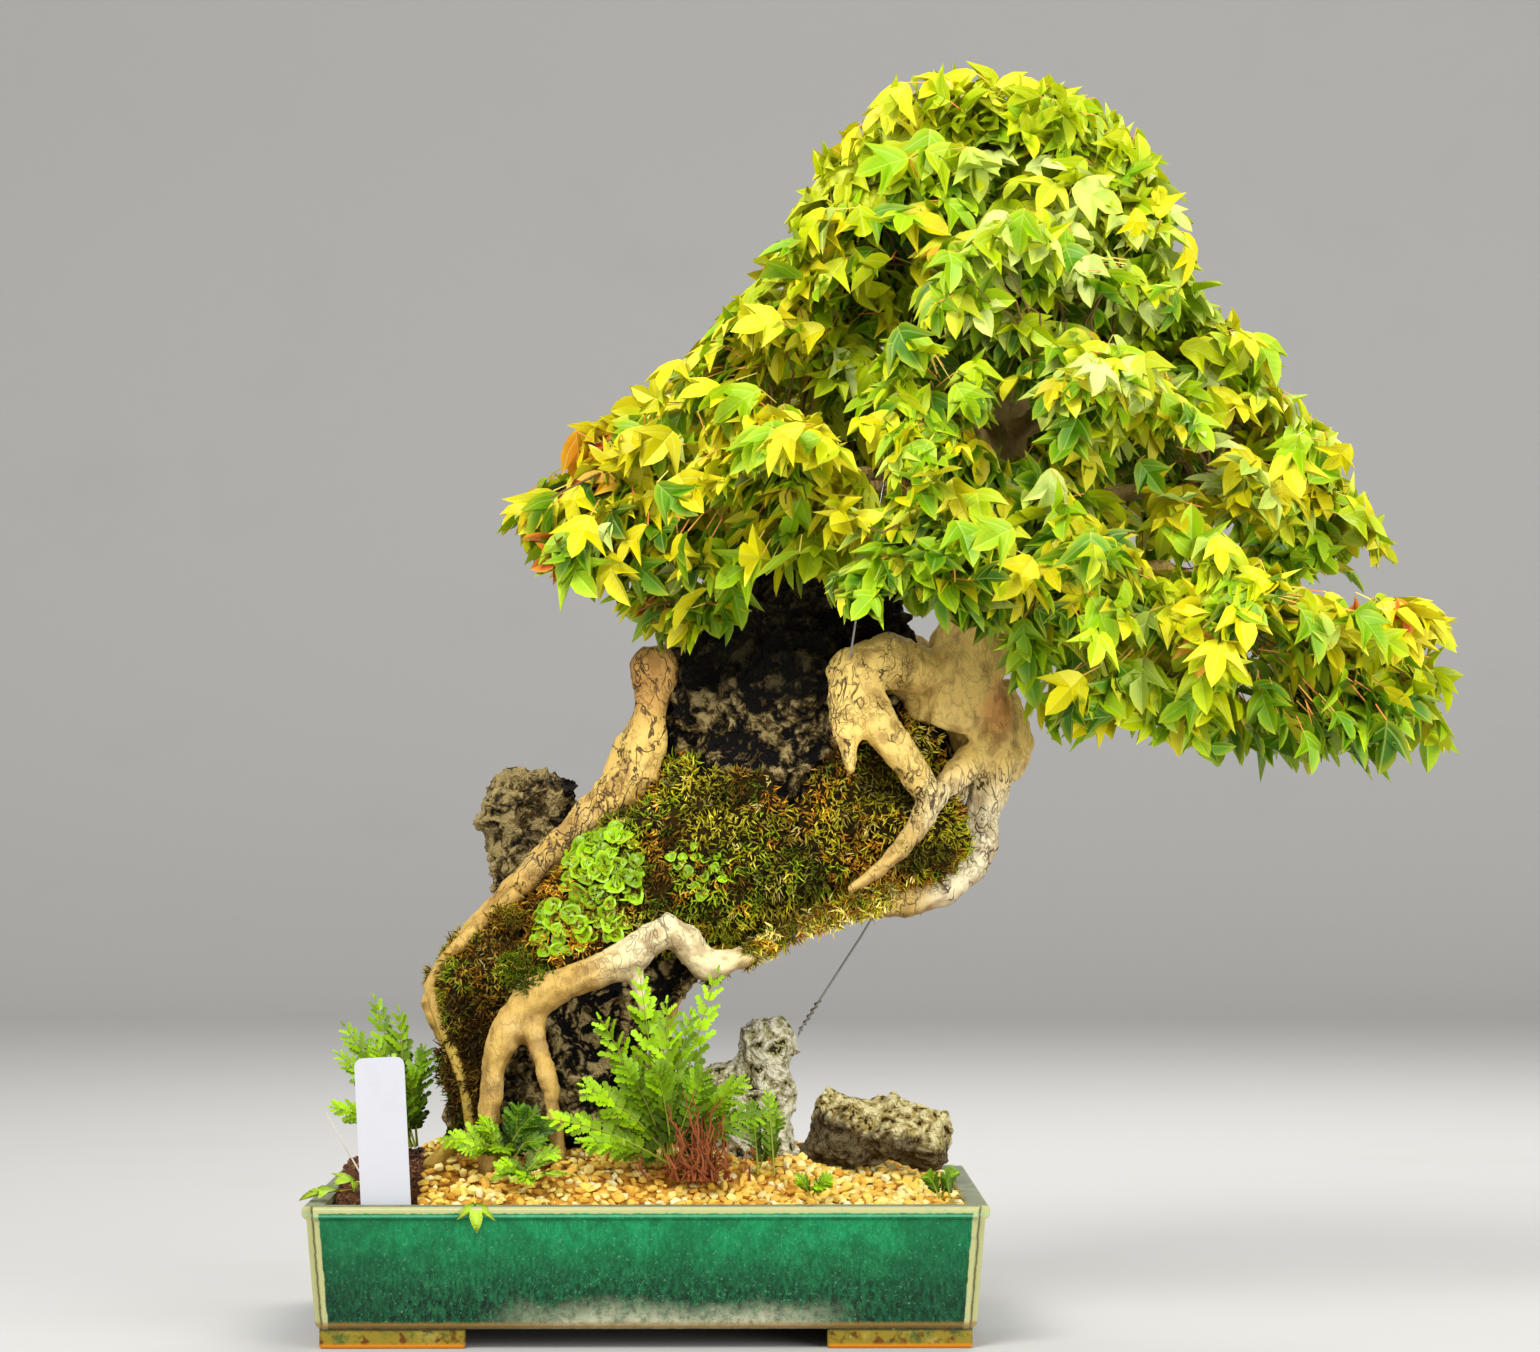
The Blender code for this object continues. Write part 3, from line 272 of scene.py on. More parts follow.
def strands(name, routes, resolution=1):
    # round tubes along routes of x, y, z, radius (plain millimetres for the radius)
    curve = bpy.data.curves.new(name, "CURVE")
    curve.dimensions = "3D"
    curve.bevel_depth = mm
    curve.bevel_resolution = resolution
    curve.use_fill_caps = True
    for route in routes:
        spline = curve.splines.new("POLY")
        spline.points.add(len(route) - 1)
        for knot, row in zip(spline.points, route):
            knot.co = (*row[:3], 1)
            knot.radius = row[3]
    thing = bpy.data.objects.new(name, curve)
    bpy.context.scene.collection.objects.link(thing)
    pick(thing)
    bpy.ops.object.convert(target="MESH")
    thing = newest(name)
    editAll(thing)
    bpy.ops.mesh.remove_doubles(threshold=0.000001)
    bpy.ops.mesh.normals_make_consistent(inside=False)
    return smoothed(leaveEdit(thing), 60)


def arc(start, end, lift, steps, thick, thin, waver=0, draw=None):
    # a bowed route from start to end, thick at its foot and thin at its tip
    route = []
    for number in range(steps + 1):
        t = number / steps
        place = start.lerp(end, t) + Vector((0, 0, lift)) * math.sin(math.pi * t)
        if waver and 0 < number < steps:
            place += Vector([draw.uniform(-waver, waver) for axis in range(3)])
        route.append((*place, thick + (thin - thick) * t))
    return route


# shader helpers


def node(tree, kind, **values):
    made = tree.nodes.new(kind)
    for key, value in values.items():
        setattr(made, key, value)
    return made


def feed(tree, socket, value):
    if isinstance(value, bpy.types.NodeSocket):
        tree.links.new(value, socket)
    elif value is not None:
        socket.default_value = value


def calc(tree, operation, *values, clamp=False):
    made = node(tree, "ShaderNodeMath", operation=operation, use_clamp=clamp)
    for socket, value in zip(made.inputs, values):
        feed(tree, socket, value)
    return made.outputs[0]


def times(tree, first, second):
    return calc(tree, "MULTIPLY", first, second)


def plus(tree, *values):
    total = values[0]
    for value in values[1:]:
        total = calc(tree, "ADD", total, value)
    return total


def minus(tree, first, second):
    return calc(tree, "SUBTRACT", first, second)


def blend(tree, factor, first, second):
    made = node(tree, "ShaderNodeMix", data_type="RGBA")
    for socket, value in zip((made.inputs[0], made.inputs[6], made.inputs[7]), (factor, first, second)):
        feed(tree, socket, value)
    return made.outputs[2]


def tinted(tree, colour, mask, amount, second):
    # a second colour laid over the first through a mask
    return blend(tree, times(tree, mask, amount), colour, second)


def span(tree, value, low, high, lowest=0.0, highest=1.0):
    made = node(tree, "ShaderNodeMapRange", interpolation_type="SMOOTHSTEP")
    for socket, number in zip(made.inputs, (value, low, high, lowest, highest)):
        feed(tree, socket, number)
    return made.outputs[0]


def cloud(tree, where, scale, detail=3.0, rough=0.6, warp=0.0):
    made = node(tree, "ShaderNodeTexNoise")
    for label, value in (("Vector", where), ("Scale", scale), ("Detail", detail),
                         ("Roughness", rough), ("Distortion", warp)):
        feed(tree, made.inputs[label], value)
    return made.outputs[0]


def cells(tree, where, scale, feature="F1"):
    made = node(tree, "ShaderNodeTexVoronoi", feature=feature)
    for label, value in (("Vector", where), ("Scale", scale)):
        feed(tree, made.inputs[label], value)
    return made.outputs["Distance"]


def wander(tree, where, scale, reach, detail=3.0):
    # a drift about zero, which makes a straight edge ragged
    return times(tree, minus(tree, cloud(tree, where, scale, detail), 0.5), reach)


def axes(tree, vector):
    made = node(tree, "ShaderNodeSeparateXYZ")
    feed(tree, made.inputs[0], vector)
    return made.outputs


def facing(tree):
    return axes(tree, node(tree, "ShaderNodeTexCoord").outputs["Normal"])


def stretched(tree, where, tall):
    made = node(tree, "ShaderNodeMapping")
    feed(tree, made.inputs["Vector"], where)
    made.inputs["Scale"].default_value = (1, 1, tall)
    return made.outputs[0]


def readMark(tree, name):
    return node(tree, "ShaderNodeAttribute", attribute_name=name)


def bumped(tree, height, strength, distance):
    made = node(tree, "ShaderNodeBump")
    made.inputs["Strength"].default_value = strength
    made.inputs["Distance"].default_value = distance
    feed(tree, made.inputs["Height"], height)
    return made.outputs[0]


def newGroup(name, inputs, outputs):
    group = bpy.data.node_groups.new(name, "ShaderNodeTree")
    for label, kind, value in inputs:
        socket = group.interface.new_socket(label, in_out="INPUT", socket_type="NodeSocket" + kind)
        if value is not None:
            socket.default_value = value
    for label, kind in outputs:
        group.interface.new_socket(label, in_out="OUTPUT", socket_type="NodeSocket" + kind)
    return group, group.nodes.new("NodeGroupInput").outputs, group.nodes.new("NodeGroupOutput").inputs


def useGroup(tree, group, **values):
    made = node(tree, "ShaderNodeGroup", node_tree=group)
    for label, value in values.items():
        feed(tree, made.inputs[label], value)
    return made.outputs


def newMaterial(name, rough, metal=0.0, coat=0.0, specular=0.5):
    material = bpy.data.materials.new(name)
    material.use_nodes = True
    tree = material.node_tree
    shader = tree.nodes["Principled BSDF"]
    shader.inputs["Roughness"].default_value = rough
    shader.inputs["Metallic"].default_value = metal
    shader.inputs["Coat Weight"].default_value = coat
    shader.inputs["Specular IOR Level"].default_value = specular
    where = tree.nodes.new("ShaderNodeTexCoord").outputs["Object"]
    return material, tree, shader.inputs, where


# patches of a second colour over a first, with soft ragged edges
patchGroup, given, out = newGroup(
    "patches", [("Where", "Vector", None), ("Color", "Color", (1, 1, 1, 1)), ("Second", "Color", (0, 0, 0, 1)),
                ("Scale", "Float", 50.0), ("Cover", "Float", 0.5), ("Softness", "Float", 0.1)],
    [("Color", "Color")])
patchNoise = cloud(patchGroup, given["Where"], given["Scale"], 5, 0.65)
patchDepth = minus(patchGroup, patchNoise, minus(patchGroup, 1.0, given["Cover"]))
patchMask = calc(patchGroup, "DIVIDE", patchDepth, given["Softness"], clamp=True)
feed(patchGroup, out["Color"], blend(patchGroup, patchMask, given["Color"], given["Second"]))

# thin broken lines between plates
crackGroup, given, out = newGroup(
    "cracks", [("Where", "Vector", None), ("Scale", "Float", 100.0), ("Width", "Float", 0.04),
               ("Warp", "Float", 0.01), ("Broken", "Float", 0.5)],
    [("Mask", "Float")])
crackNoise = node(crackGroup, "ShaderNodeTexNoise")
feed(crackGroup, crackNoise.inputs["Vector"], given["Where"])
feed(crackGroup, crackNoise.inputs["Scale"], times(crackGroup, given["Scale"], 0.9))
crackShift = node(crackGroup, "ShaderNodeVectorMath", operation="SCALE")
feed(crackGroup, crackShift.inputs[0], crackNoise.outputs["Color"])
feed(crackGroup, crackShift.inputs["Scale"], given["Warp"])
crackPlace = node(crackGroup, "ShaderNodeVectorMath", operation="ADD")
feed(crackGroup, crackPlace.inputs[0], given["Where"])
feed(crackGroup, crackPlace.inputs[1], crackShift.outputs[0])
crackGap = cells(crackGroup, crackPlace.outputs[0], given["Scale"], "DISTANCE_TO_EDGE")
crackLine = minus(crackGroup, 1.0, calc(crackGroup, "DIVIDE", crackGap, given["Width"], clamp=True))
crackNoise = cloud(crackGroup, given["Where"], times(crackGroup, given["Scale"], 0.35))
crackBreak = span(crackGroup, crackNoise, given["Broken"], plus(crackGroup, given["Broken"], 0.12))
feed(crackGroup, out["Mask"], times(crackGroup, crackLine, crackBreak))

# winding ridges: 0 in the creases between them, near 1 on top
ridgeGroup, given, out = newGroup(
    "ridges", [("Where", "Vector", None), ("Scale", "Float", 80.0)], [("Height", "Float")])
ridgeNoise = minus(ridgeGroup, cloud(ridgeGroup, given["Where"], given["Scale"], 3, 0.55, 0.6), 0.5)
ridgeHeight = calc(ridgeGroup, "MULTIPLY", calc(ridgeGroup, "ABSOLUTE", ridgeNoise), 7.0, clamp=True)
feed(ridgeGroup, out["Height"], ridgeHeight)

# fine speckle for the height of a bump
grainGroup, given, out = newGroup(
    "grain", [("Where", "Vector", None), ("Scale", "Float", 400.0), ("Rough", "Float", 0.6)],
    [("Height", "Float")])
feed(grainGroup, out["Height"], cloud(grainGroup, given["Where"], given["Scale"], 4, given["Rough"]))


def patched(tree, where, first, second, scale, cover, soft):
    return useGroup(tree, patchGroup, Where=where, Color=first, Second=second, Scale=scale, Cover=cover,
                    Softness=soft)["Color"]


def cracked(tree, where, scale, width, warp, broken):
    return useGroup(tree, crackGroup, Where=where, Scale=scale, Width=width, Warp=warp, Broken=broken)["Mask"]


def ridged(tree, where, scale):
    return useGroup(tree, ridgeGroup, Where=where, Scale=scale)["Height"]


def grained(tree, where, scale, rough=0.6):
    return useGroup(tree, grainGroup, Where=where, Scale=scale, Rough=rough)["Height"]


print("helpers and shared node groups ready")

# pot

pot = {"edge": 1.1, "foot": 0.0095, "lip": 0.0690, "top": 0.0724, "cornerX": 0.1660, "cornerY": 0.1160,
       "slope": 0.079, "fade": (0.020, 0.074), "crustHigh": 0.027, "crustLow": 0.012,
       "bright": paint(14, 128, 74), "deep": paint(3, 26, 17), "streak": paint(66, 196, 122),
       "cloud": paint(3, 50, 30), "fleck": paint(110, 178, 132), "ends": paint(6, 58, 38),
       "cream": paint(172, 172, 118), "amber": paint(128, 112, 34), "crust": paint(176, 176, 144)}


def makePot():
    body = mergedCopy("pot", "glazed_pot")
    editAll(body)
    bpy.ops.mesh.dissolve_limited(angle_limit=math.radians(1))
    leaveEdit(body)
    finishWith(body, "BEVEL", width=pot["edge"] * mm, segments=3, limit_method="ANGLE",
               angle_limit=math.radians(35))
    finishWith(body, "TRIANGULATE")
    return smoothed(body, 35)


def glazeMaterial():
    material, tree, shader, where = newMaterial("greenGlaze", 0.24, coat=0.06, specular=0.26)
    x, y, z = axes(tree, where)
    height = plus(tree, z, wander(tree, where, 60, 0.016, 4))
    colour = blend(tree, span(tree, height, *pot["fade"]), pot["deep"], pot["bright"])
    # streaks that run down, darker clouds and pale flecks
    run = stretched(tree, where, 0.42)
    runs = span(tree, cloud(tree, run, 520, 4, 0.75), 0.36, 0.66)
    colour = tinted(tree, colour, runs, 0.30, blend(tree, 0.6, colour, pot["streak"]))
    clouded = span(tree, cloud(tree, where, 70, 5, 0.7), 0.60, 0.40)
    colour = tinted(tree, colour, clouded, 0.55, blend(tree, 0.7, colour, pot["cloud"]))
    colour = tinted(tree, colour, span(tree, cloud(tree, where, 620, 3, 0.8), 0.58, 0.68), 0.4, pot["fleck"])
    # cream where the glaze runs thin: along the lip, and at the corners
    acrossX, acrossY = (calc(tree, "ABSOLUTE", minus(tree, side, middle))
                        for side, middle in ((x, potMiddle.x), (y, potMiddle.y)))
    colour = blend(tree, span(tree, acrossX, 0.105, 0.165, 0.0, 0.38), colour, pot["ends"])
    lean = times(tree, minus(tree, 0.073, z), pot["slope"])
    ragged = wander(tree, where, 260, 0.0016)
    cornerX, cornerY = (plus(tree, across, lean, ragged) for across in (acrossX, acrossY))
    atCorner = times(tree, span(tree, cornerX, pot["cornerX"], pot["cornerX"] + 0.0008),
                     span(tree, cornerY, pot["cornerY"], pot["cornerY"] + 0.0008))
    # a dark line in each notch
    front = calc(tree, "GREATER_THAN", calc(tree, "ABSOLUTE", facing(tree)[1]), 0.7)
    lines = [times(tree, span(tree, corner, edge, edge + 0.0004),
                   span(tree, corner, edge + 0.0014, edge + 0.0010))
             for corner, edge in ((cornerX, pot["cornerX"] + 0.0034), (cornerY, pot["cornerY"] + 0.0034))]
    notch = plus(tree, times(tree, lines[0], front), times(tree, lines[1], minus(tree, 1.0, front)))
    lip = span(tree, plus(tree, z, ragged), pot["lip"], pot["lip"] + 0.0010)
    cream = patched(tree, where, pot["cream"], paint(120, 160, 110), 150.0, 0.42, 0.2)
    colour = blend(tree, calc(tree, "MAXIMUM", atCorner, lip), colour, cream)
    colour = tinted(tree, colour, times(tree, atCorner, notch), 0.75, paint(70, 66, 30))
    top = span(tree, z, pot["top"], pot["top"] + 0.0005)
    dusty = patched(tree, where, paint(112, 118, 96), paint(60, 66, 56), 120.0, 0.5, 0.25)
    colour = tinted(tree, colour, top, 0.85, dusty)
    # amber feet with olive and brown stains, a painted shadow along their top under the body, and orange at the
    # edge they stand on
    feet = span(tree, plus(tree, z, ragged), pot["foot"] + 0.0020, pot["foot"])
    foot = patched(tree, where, pot["amber"], paint(170, 150, 76), 80.0, 0.5, 0.3)
    foot = patched(tree, where, foot, paint(70, 88, 40), 100.0, 0.52, 0.12)
    foot = patched(tree, where, foot, paint(92, 54, 14), 180.0, 0.47, 0.1)
    foot = blend(tree, span(tree, z, 0.0034, 0.0014), foot, paint(196, 120, 24))
    # painted shadow: the top of the feet darkens where the body overhangs them
    foot = blend(tree, span(tree, z, 0.0085, 0.0100), foot, paint(52, 44, 20))
    colour = blend(tree, feet, colour, foot)
    # pale crust low on the long walls, and a brown line at their foot
    low = span(tree, plus(tree, z, wander(tree, where, 40, 0.022, 4)), pot["crustHigh"], pot["crustLow"])
    side = times(tree, span(tree, x, potLow.x + 0.085, potLow.x + 0.15),
                 span(tree, x, potHigh.x - 0.06, potHigh.x - 0.12))
    flaky = span(tree, cloud(tree, where, 240, 5, 0.8), 0.34, 0.60, 0.35, 1.0)
    wall = minus(tree, 1.0, feet)
    crust = times(tree, times(tree, times(tree, low, side), flaky), wall)
    colour = tinted(tree, colour, crust, 0.9, pot["crust"])
    stained = times(tree, span(tree, plus(tree, z, ragged), 0.0146, 0.0126), wall)
    colour = tinted(tree, colour, stained, 0.7, paint(140, 104, 50))
    # specks, scratches, and a paler line where the wall meets the lip
    colour = tinted(tree, colour, span(tree, cells(tree, where, 70), 0.05, 0.03), 0.4, paint(128, 176, 128))
    colour = tinted(tree, colour, cracked(tree, run, 26.0, 0.006, 0.05, 0.58), 0.5, paint(130, 176, 140))
    under = times(tree, span(tree, z, 0.0672, 0.0680), span(tree, z, 0.0690, 0.0684))
    colour = tinted(tree, colour, under, 0.4, paint(110, 200, 160))
    feed(tree, shader["Base Color"], colour)
    feed(tree, shader["Roughness"], plus(tree, 0.22, times(tree, plus(tree, crust, top), 0.5)))
    height = plus(tree, times(tree, grained(tree, where, 170.0), 0.25), times(tree, crust, 0.8))
    feed(tree, shader["Normal"], bumped(tree, height, 0.35, 0.0008))
    return material


handOver(makePot(), glazeMaterial(), "green_glaze", "pot")

# screens inside, under the soil


def plainMaterial(name, colour, second, scale, rough, metal=0.0):
    material, tree, shader, where = newMaterial(name, rough, metal)
    feed(tree, shader["Base Color"], patched(tree, where, colour, second, scale, 0.45, 0.25))
    feed(tree, shader["Normal"], bumped(tree, grained(tree, where, scale * 3), 0.25, 0.0004))
    return material


screenMaterial = plainMaterial("screenPlastic", paint(40, 42, 40), paint(58, 58, 52), 200.0, 0.6)
for nodeName in ("drain_screen_1", "drain_screen_2"):
    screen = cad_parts[nodeName]
    screen.data.materials.clear()
    screen.data.materials.append(screenMaterial)

# soil and gravel

ground = {"crumbs": 700, "crumbTries": 2600, "crumbGap": 1.9, "crumbSize": (1.2, 3.0),
          "pebbles": 14000, "pebbleGap": 3.6, "pebbleSize": (4.2, 7.2),
          "heap": (-86, -50, 50, 24, 8),  # middle, half sizes and height
          "bareLeft": -116}  # no gravel to the left of this


def earthMaterial(name, light, dark, scale):
    material, tree, shader, where = newMaterial(name, 0.95, specular=0.15)
    feed(tree, shader["Base Color"], patched(tree, where, light, dark, scale, 0.5, 0.12))
    feed(tree, shader["Normal"], bumped(tree, grained(tree, where, scale * 1.6, 0.75), 0.9, 0.002))
    return material


def tintMaterial(name, rough, second, scale, amount, bump=0.4, specular=0.4):
    # each copy has its own colour, with patches over it
    material, tree, shader, where = newMaterial(name, rough, specular=specular)
    colour = readMark(tree, "tint").outputs["Color"]
    over = patched(tree, where, colour, second, scale, 0.42, 0.2)
    feed(tree, shader["Base Color"], blend(tree, amount, colour, over))
    feed(tree, shader["Normal"], bumped(tree, grained(tree, where, scale * 2, 0.7), bump, 0.0006))
    return material


def pebbleModels(draw):
    models = []
    for number in range(8):
        deselectAll()
        bpy.ops.mesh.primitive_ico_sphere_add(subdivisions=1, radius=0.5)
        stone = newest("pebble")
        points = pointsOf(stone)
        points = 0.5 * np.sign(points) * np.abs(points * 2) ** 0.75 + draw.normal(0, 0.05, points.shape)
        stone.data.vertices.foreach_set("co", points.ravel())
        models.append(modelFrom(stone))
    return models


def randomTurn(draw):
    return np.array(Matrix.Rotation(draw.uniform(0, 6.28), 3, Vector(draw.normal(size=3)).normalized()))


def makeGravel():
    draw = np.random.default_rng(11)
    base = mergedCopy("gravel", "gravel_bed")
    finishWith(base, "SUBSURF", levels=1, render_levels=1, subdivision_type="SIMPLE")
    models = pebbleModels(draw)
    places, normals = spreadOver(base, ground["pebbles"], draw, lambda middle, normal: normal[:, 2] > 0.25)
    kept = wellApart(places, ground["pebbleGap"] * mm)
    colours = [paint(230, 196, 88), paint(234, 212, 122), paint(222, 176, 72), paint(234, 218, 146),
               paint(226, 186, 78), paint(196, 142, 50), paint(232, 182, 80), paint(234, 224, 168)]
    left, near, wide, deep, tall = ground["heap"]
    copies = []
    for number in kept:
        size = draw.uniform(*ground["pebbleSize"]) * mm
        flat = np.diag([size, size * draw.uniform(0.62, 0.95), size * draw.uniform(0.45, 0.75)])
        turn = randomTurn(draw) @ flat if draw.random() < 0.35 else (
            turnTo((draw.normal(), draw.normal(), 0.15), (*draw.normal(0, 0.3, 2), 1)) @ flat)
        tint = colours[draw.choice(len(colours), p=[.2, .18, .14, .1, .16, .08, .08, .06])]
        lift = normals[number] * draw.uniform(-0.1, 0.35) * size
        x, y = (np.array(places[number][:2]) - np.array(potMiddle[:2])) / mm
        lift[2] += tall * mm * math.exp(-((x - left) / wide) ** 2 - ((y - near) / deep) ** 2)
        copies.append((draw.integers(len(models)), places[number] + lift, turn, {"tint": tint}))
    stones = scattered("gravel_stones", models, copies, 44)
    handOver(base, earthMaterial("gravelShade", paint(200, 144, 56), paint(136, 84, 24), 170.0), "earth")
    skin = tintMaterial("gravelStone", 0.62, paint(190, 136, 50), 420.0, 0.5, specular=0.2)
    return handOver(stones, skin, "gravel", "gravel")


def makeSoil():
    draw = np.random.default_rng(12)
    base = mergedCopy("soil", "soil_body")
    models = pebbleModels(draw)
    edge = spot(ground["bareLeft"], 0, 0).x
    places, normals = spreadOver(base, ground["crumbTries"], draw, lambda middle, normal:
                                 (normal[:, 2] > 0.3) * (middle[:, 0] < edge) * (middle[:, 2] > 0.06))
    kept = wellApart(places, ground["crumbGap"] * mm)[:ground["crumbs"]]
    colours = [paint(84, 52, 32), paint(58, 36, 24), paint(112, 74, 44), paint(140, 98, 60), paint(40, 26, 18)]
    copies = []
    for number in kept:
        size = draw.uniform(*ground["crumbSize"]) * mm * (1.9 if draw.random() < 0.12 else 1)
        turn = randomTurn(draw) @ np.diag([size, size * 0.8, size * 0.6])
        copies.append((draw.integers(len(models)), places[number], turn, {"tint": colours[draw.integers(5)]}))
    crumbs = scattered("soil_crumbs", models, copies, 30)
    handOver(crumbs, tintMaterial("crumbEarth", 0.95, paint(40, 26, 16), 500.0, 0.6), "earth")
    return handOver(base, earthMaterial("earth", paint(92, 58, 36), paint(44, 28, 18), 210.0), "earth", "soil")


makeSoil()
makeGravel()
print("pot and ground done")

# rock, stones and tree: fine copies of the solids, with their surface worked in


def texture(name, kind, size, **settings):
    made = bpy.data.textures.new(name, kind)
    made.noise_scale = size * mm
    for key, value in settings.items():
        setattr(made, key, value)
    return made


def worked(nodeName, name, voxel, calm, layers, swells=0):
    # layers: texture, strength in millimetres, middle; the first few swells don't count in the mark
    body = mergedCopy(nodeName, name)
    finishWith(body, "REMESH", mode="VOXEL", voxel_size=voxel * mm, adaptivity=0.0)
    finishWith(body, "SMOOTH", factor=0.6, iterations=calm)
    for number, (made, strength, middle) in enumerate(layers):
        if number == swells:
            before, normals = pointsOf(body), normalsOf(body)
        finishWith(body, "DISPLACE", texture=made, texture_coords="LOCAL", strength=strength * mm,
                   mid_level=middle)
    rise = np.sum((pointsOf(body) - before) * normals, axis=1) / mm
    low, high = np.percentile(rise, (2, 98))
    mark(body, "rise", np.clip((rise - low) / (high - low), 0, 1))
    return smoothed(body, 180)


def spotMask(tree, where, middle, reach, full, most):
    # strongest at a place and gone beyond its reach
    away = node(tree, "ShaderNodeVectorMath", operation="DISTANCE")
    feed(tree, away.inputs[0], where)
    away.inputs[1].default_value = middle
    return span(tree, away.outputs["Value"], reach, full, 0.0, most)


def rockMaterial(name, dark, middle, light, scale, crinkle, start, drift=0.3, pale=None):
    # pale ridges with dark creases between them; the mark and the ridges are dark below start, and through the
    # mark the hollows get painted shade
    material, tree, shader, where = newMaterial(name, 0.85, specular=0.2)
    rise = readMark(tree, "rise").outputs["Fac"]
    # painted shade: the rise mark darkens the hollows of the worked surface
    level = plus(tree, times(tree, ridged(tree, where, crinkle), 0.5),
                 times(tree, ridged(tree, where, crinkle * 2.6), 0.34),
                 times(tree, minus(tree, rise, 0.4), 0.8), wander(tree, where, 30, drift, 2),
                 times(tree, minus(tree, cloud(tree, where, scale, 5, 0.75), 0.5), 0.5))
    if pale:  # the lobe on the left is paler, and so are the ridges behind the front root
        x, y, z = axes(tree, where)
        lobe = times(tree, span(tree, x, pale, pale - 0.02, 0.0, 0.36), span(tree, z, 0.205, 0.235))
        knobs = times(tree, minus(tree, ridged(tree, where, 58.0), 0.42),
                      spotMask(tree, where, spot(-22, -30, 160), 0.056, 0.020, 1.4))
        level = plus(tree, level, lobe, knobs)
    colour = blend(tree, span(tree, level, start, start + 0.12), dark, middle)
    colour = blend(tree, span(tree, level, start + 0.16, start + 0.62), colour, light)
    height = plus(tree, times(tree, grained(tree, where, scale * 1.5, 0.75), 0.5), times(tree, level, 1.5))
    feed(tree, shader["Normal"], bumped(tree, height, 1.0, 0.0026))
    feed(tree, shader["Base Color"], colour)
    return material, tree, shader, where, colour


stoneCells = {"weight_1": -1.0, "weight_2": 1.0, "noise_intensity": 1.6}  # knobs with creases between them
fineFolds = {"musgrave_type": "RIDGED_MULTIFRACTAL"}


def makeRock():
    layers = [(texture("cragLumps", "CLOUDS", 20), 9, 0.5),
              (texture("cragCells", "VORONOI", 13, **stoneCells), 9, 0.4),
              (texture("cragKnobs", "VORONOI", 5, **stoneCells), 3.6, 0.4),
              (texture("cragRidges", "CLOUDS", 3, noise_type="HARD_NOISE"), 1.6, 0.5)]
    body = worked("rock", "crag_rock", 2.3, 3, layers, 1)
    material, tree, shader, where, colour = rockMaterial(
        "cragRock", paint(14, 10, 5), paint(74, 60, 32), paint(172, 150, 98), 260.0, 66.0, 0.20, 1.2,
        spot(-44, 0, 0).x)
    # nearly black where the crown shades it
    shaded = span(tree, plus(tree, axes(tree, where)[2], wander(tree, where, 40, 0.06)), 0.322, 0.350)
    feed(tree, shader["Base Color"], tinted(tree, colour, shaded, 0.86, paint(20, 18, 8)))
    return handOver(body, material, "crag_rock", "rock")


def makeStones():
    wrinkle = [(texture("stoneLumps", "CLOUDS", 14), 4, 0.5),
               (texture("stoneCells", "VORONOI", 8, **stoneCells), 2.6, 0.4),
               (texture("stoneWrinkle", "MUSGRAVE", 7, noise_intensity=0.6, **fineFolds), 1.8, 0.6)]
    tall = worked("tall_stone", "tall_stone_carved", 1.3, 5, wrinkle, 1)
    skin = rockMaterial("wrinkledStone", paint(48, 44, 22), paint(164, 156, 106), paint(228, 222, 192),
                        330.0, 84.0, -0.02)[0]
    handOver(tall, skin, "pale_stone", "tall_stone")
    folds = [(texture("foldLumps", "CLOUDS", 11), 5, 0.5),
             (texture("foldCells", "VORONOI", 9, **stoneCells), 3.4, 0.4),
             (texture("foldWrinkle", "CLOUDS", 5, noise_type="HARD_NOISE"), 2.0, 0.5)]
    low = worked("low_stone", "low_stone_carved", 1.3, 3, folds, 1)
    skin, tree, shader, where, colour = rockMaterial(
        "flatStone", paint(54, 40, 16), paint(164, 144, 82), paint(228, 214, 156), 300.0, 76.0, -0.02)
    # its front is hollow, and painted shade makes it dark below
    x, y, z = axes(tree, where)
    slope = times(tree, minus(tree, x, spot(80, 0, 0).x), 0.26)
    under = span(tree, plus(tree, z, wander(tree, where, 90, 0.030), slope), 0.120, 0.110)
    feed(tree, shader["Base Color"], tinted(tree, colour, under, 0.85, paint(52, 34, 18)))
    handOver(low, skin, "pale_stone", "low_stone")


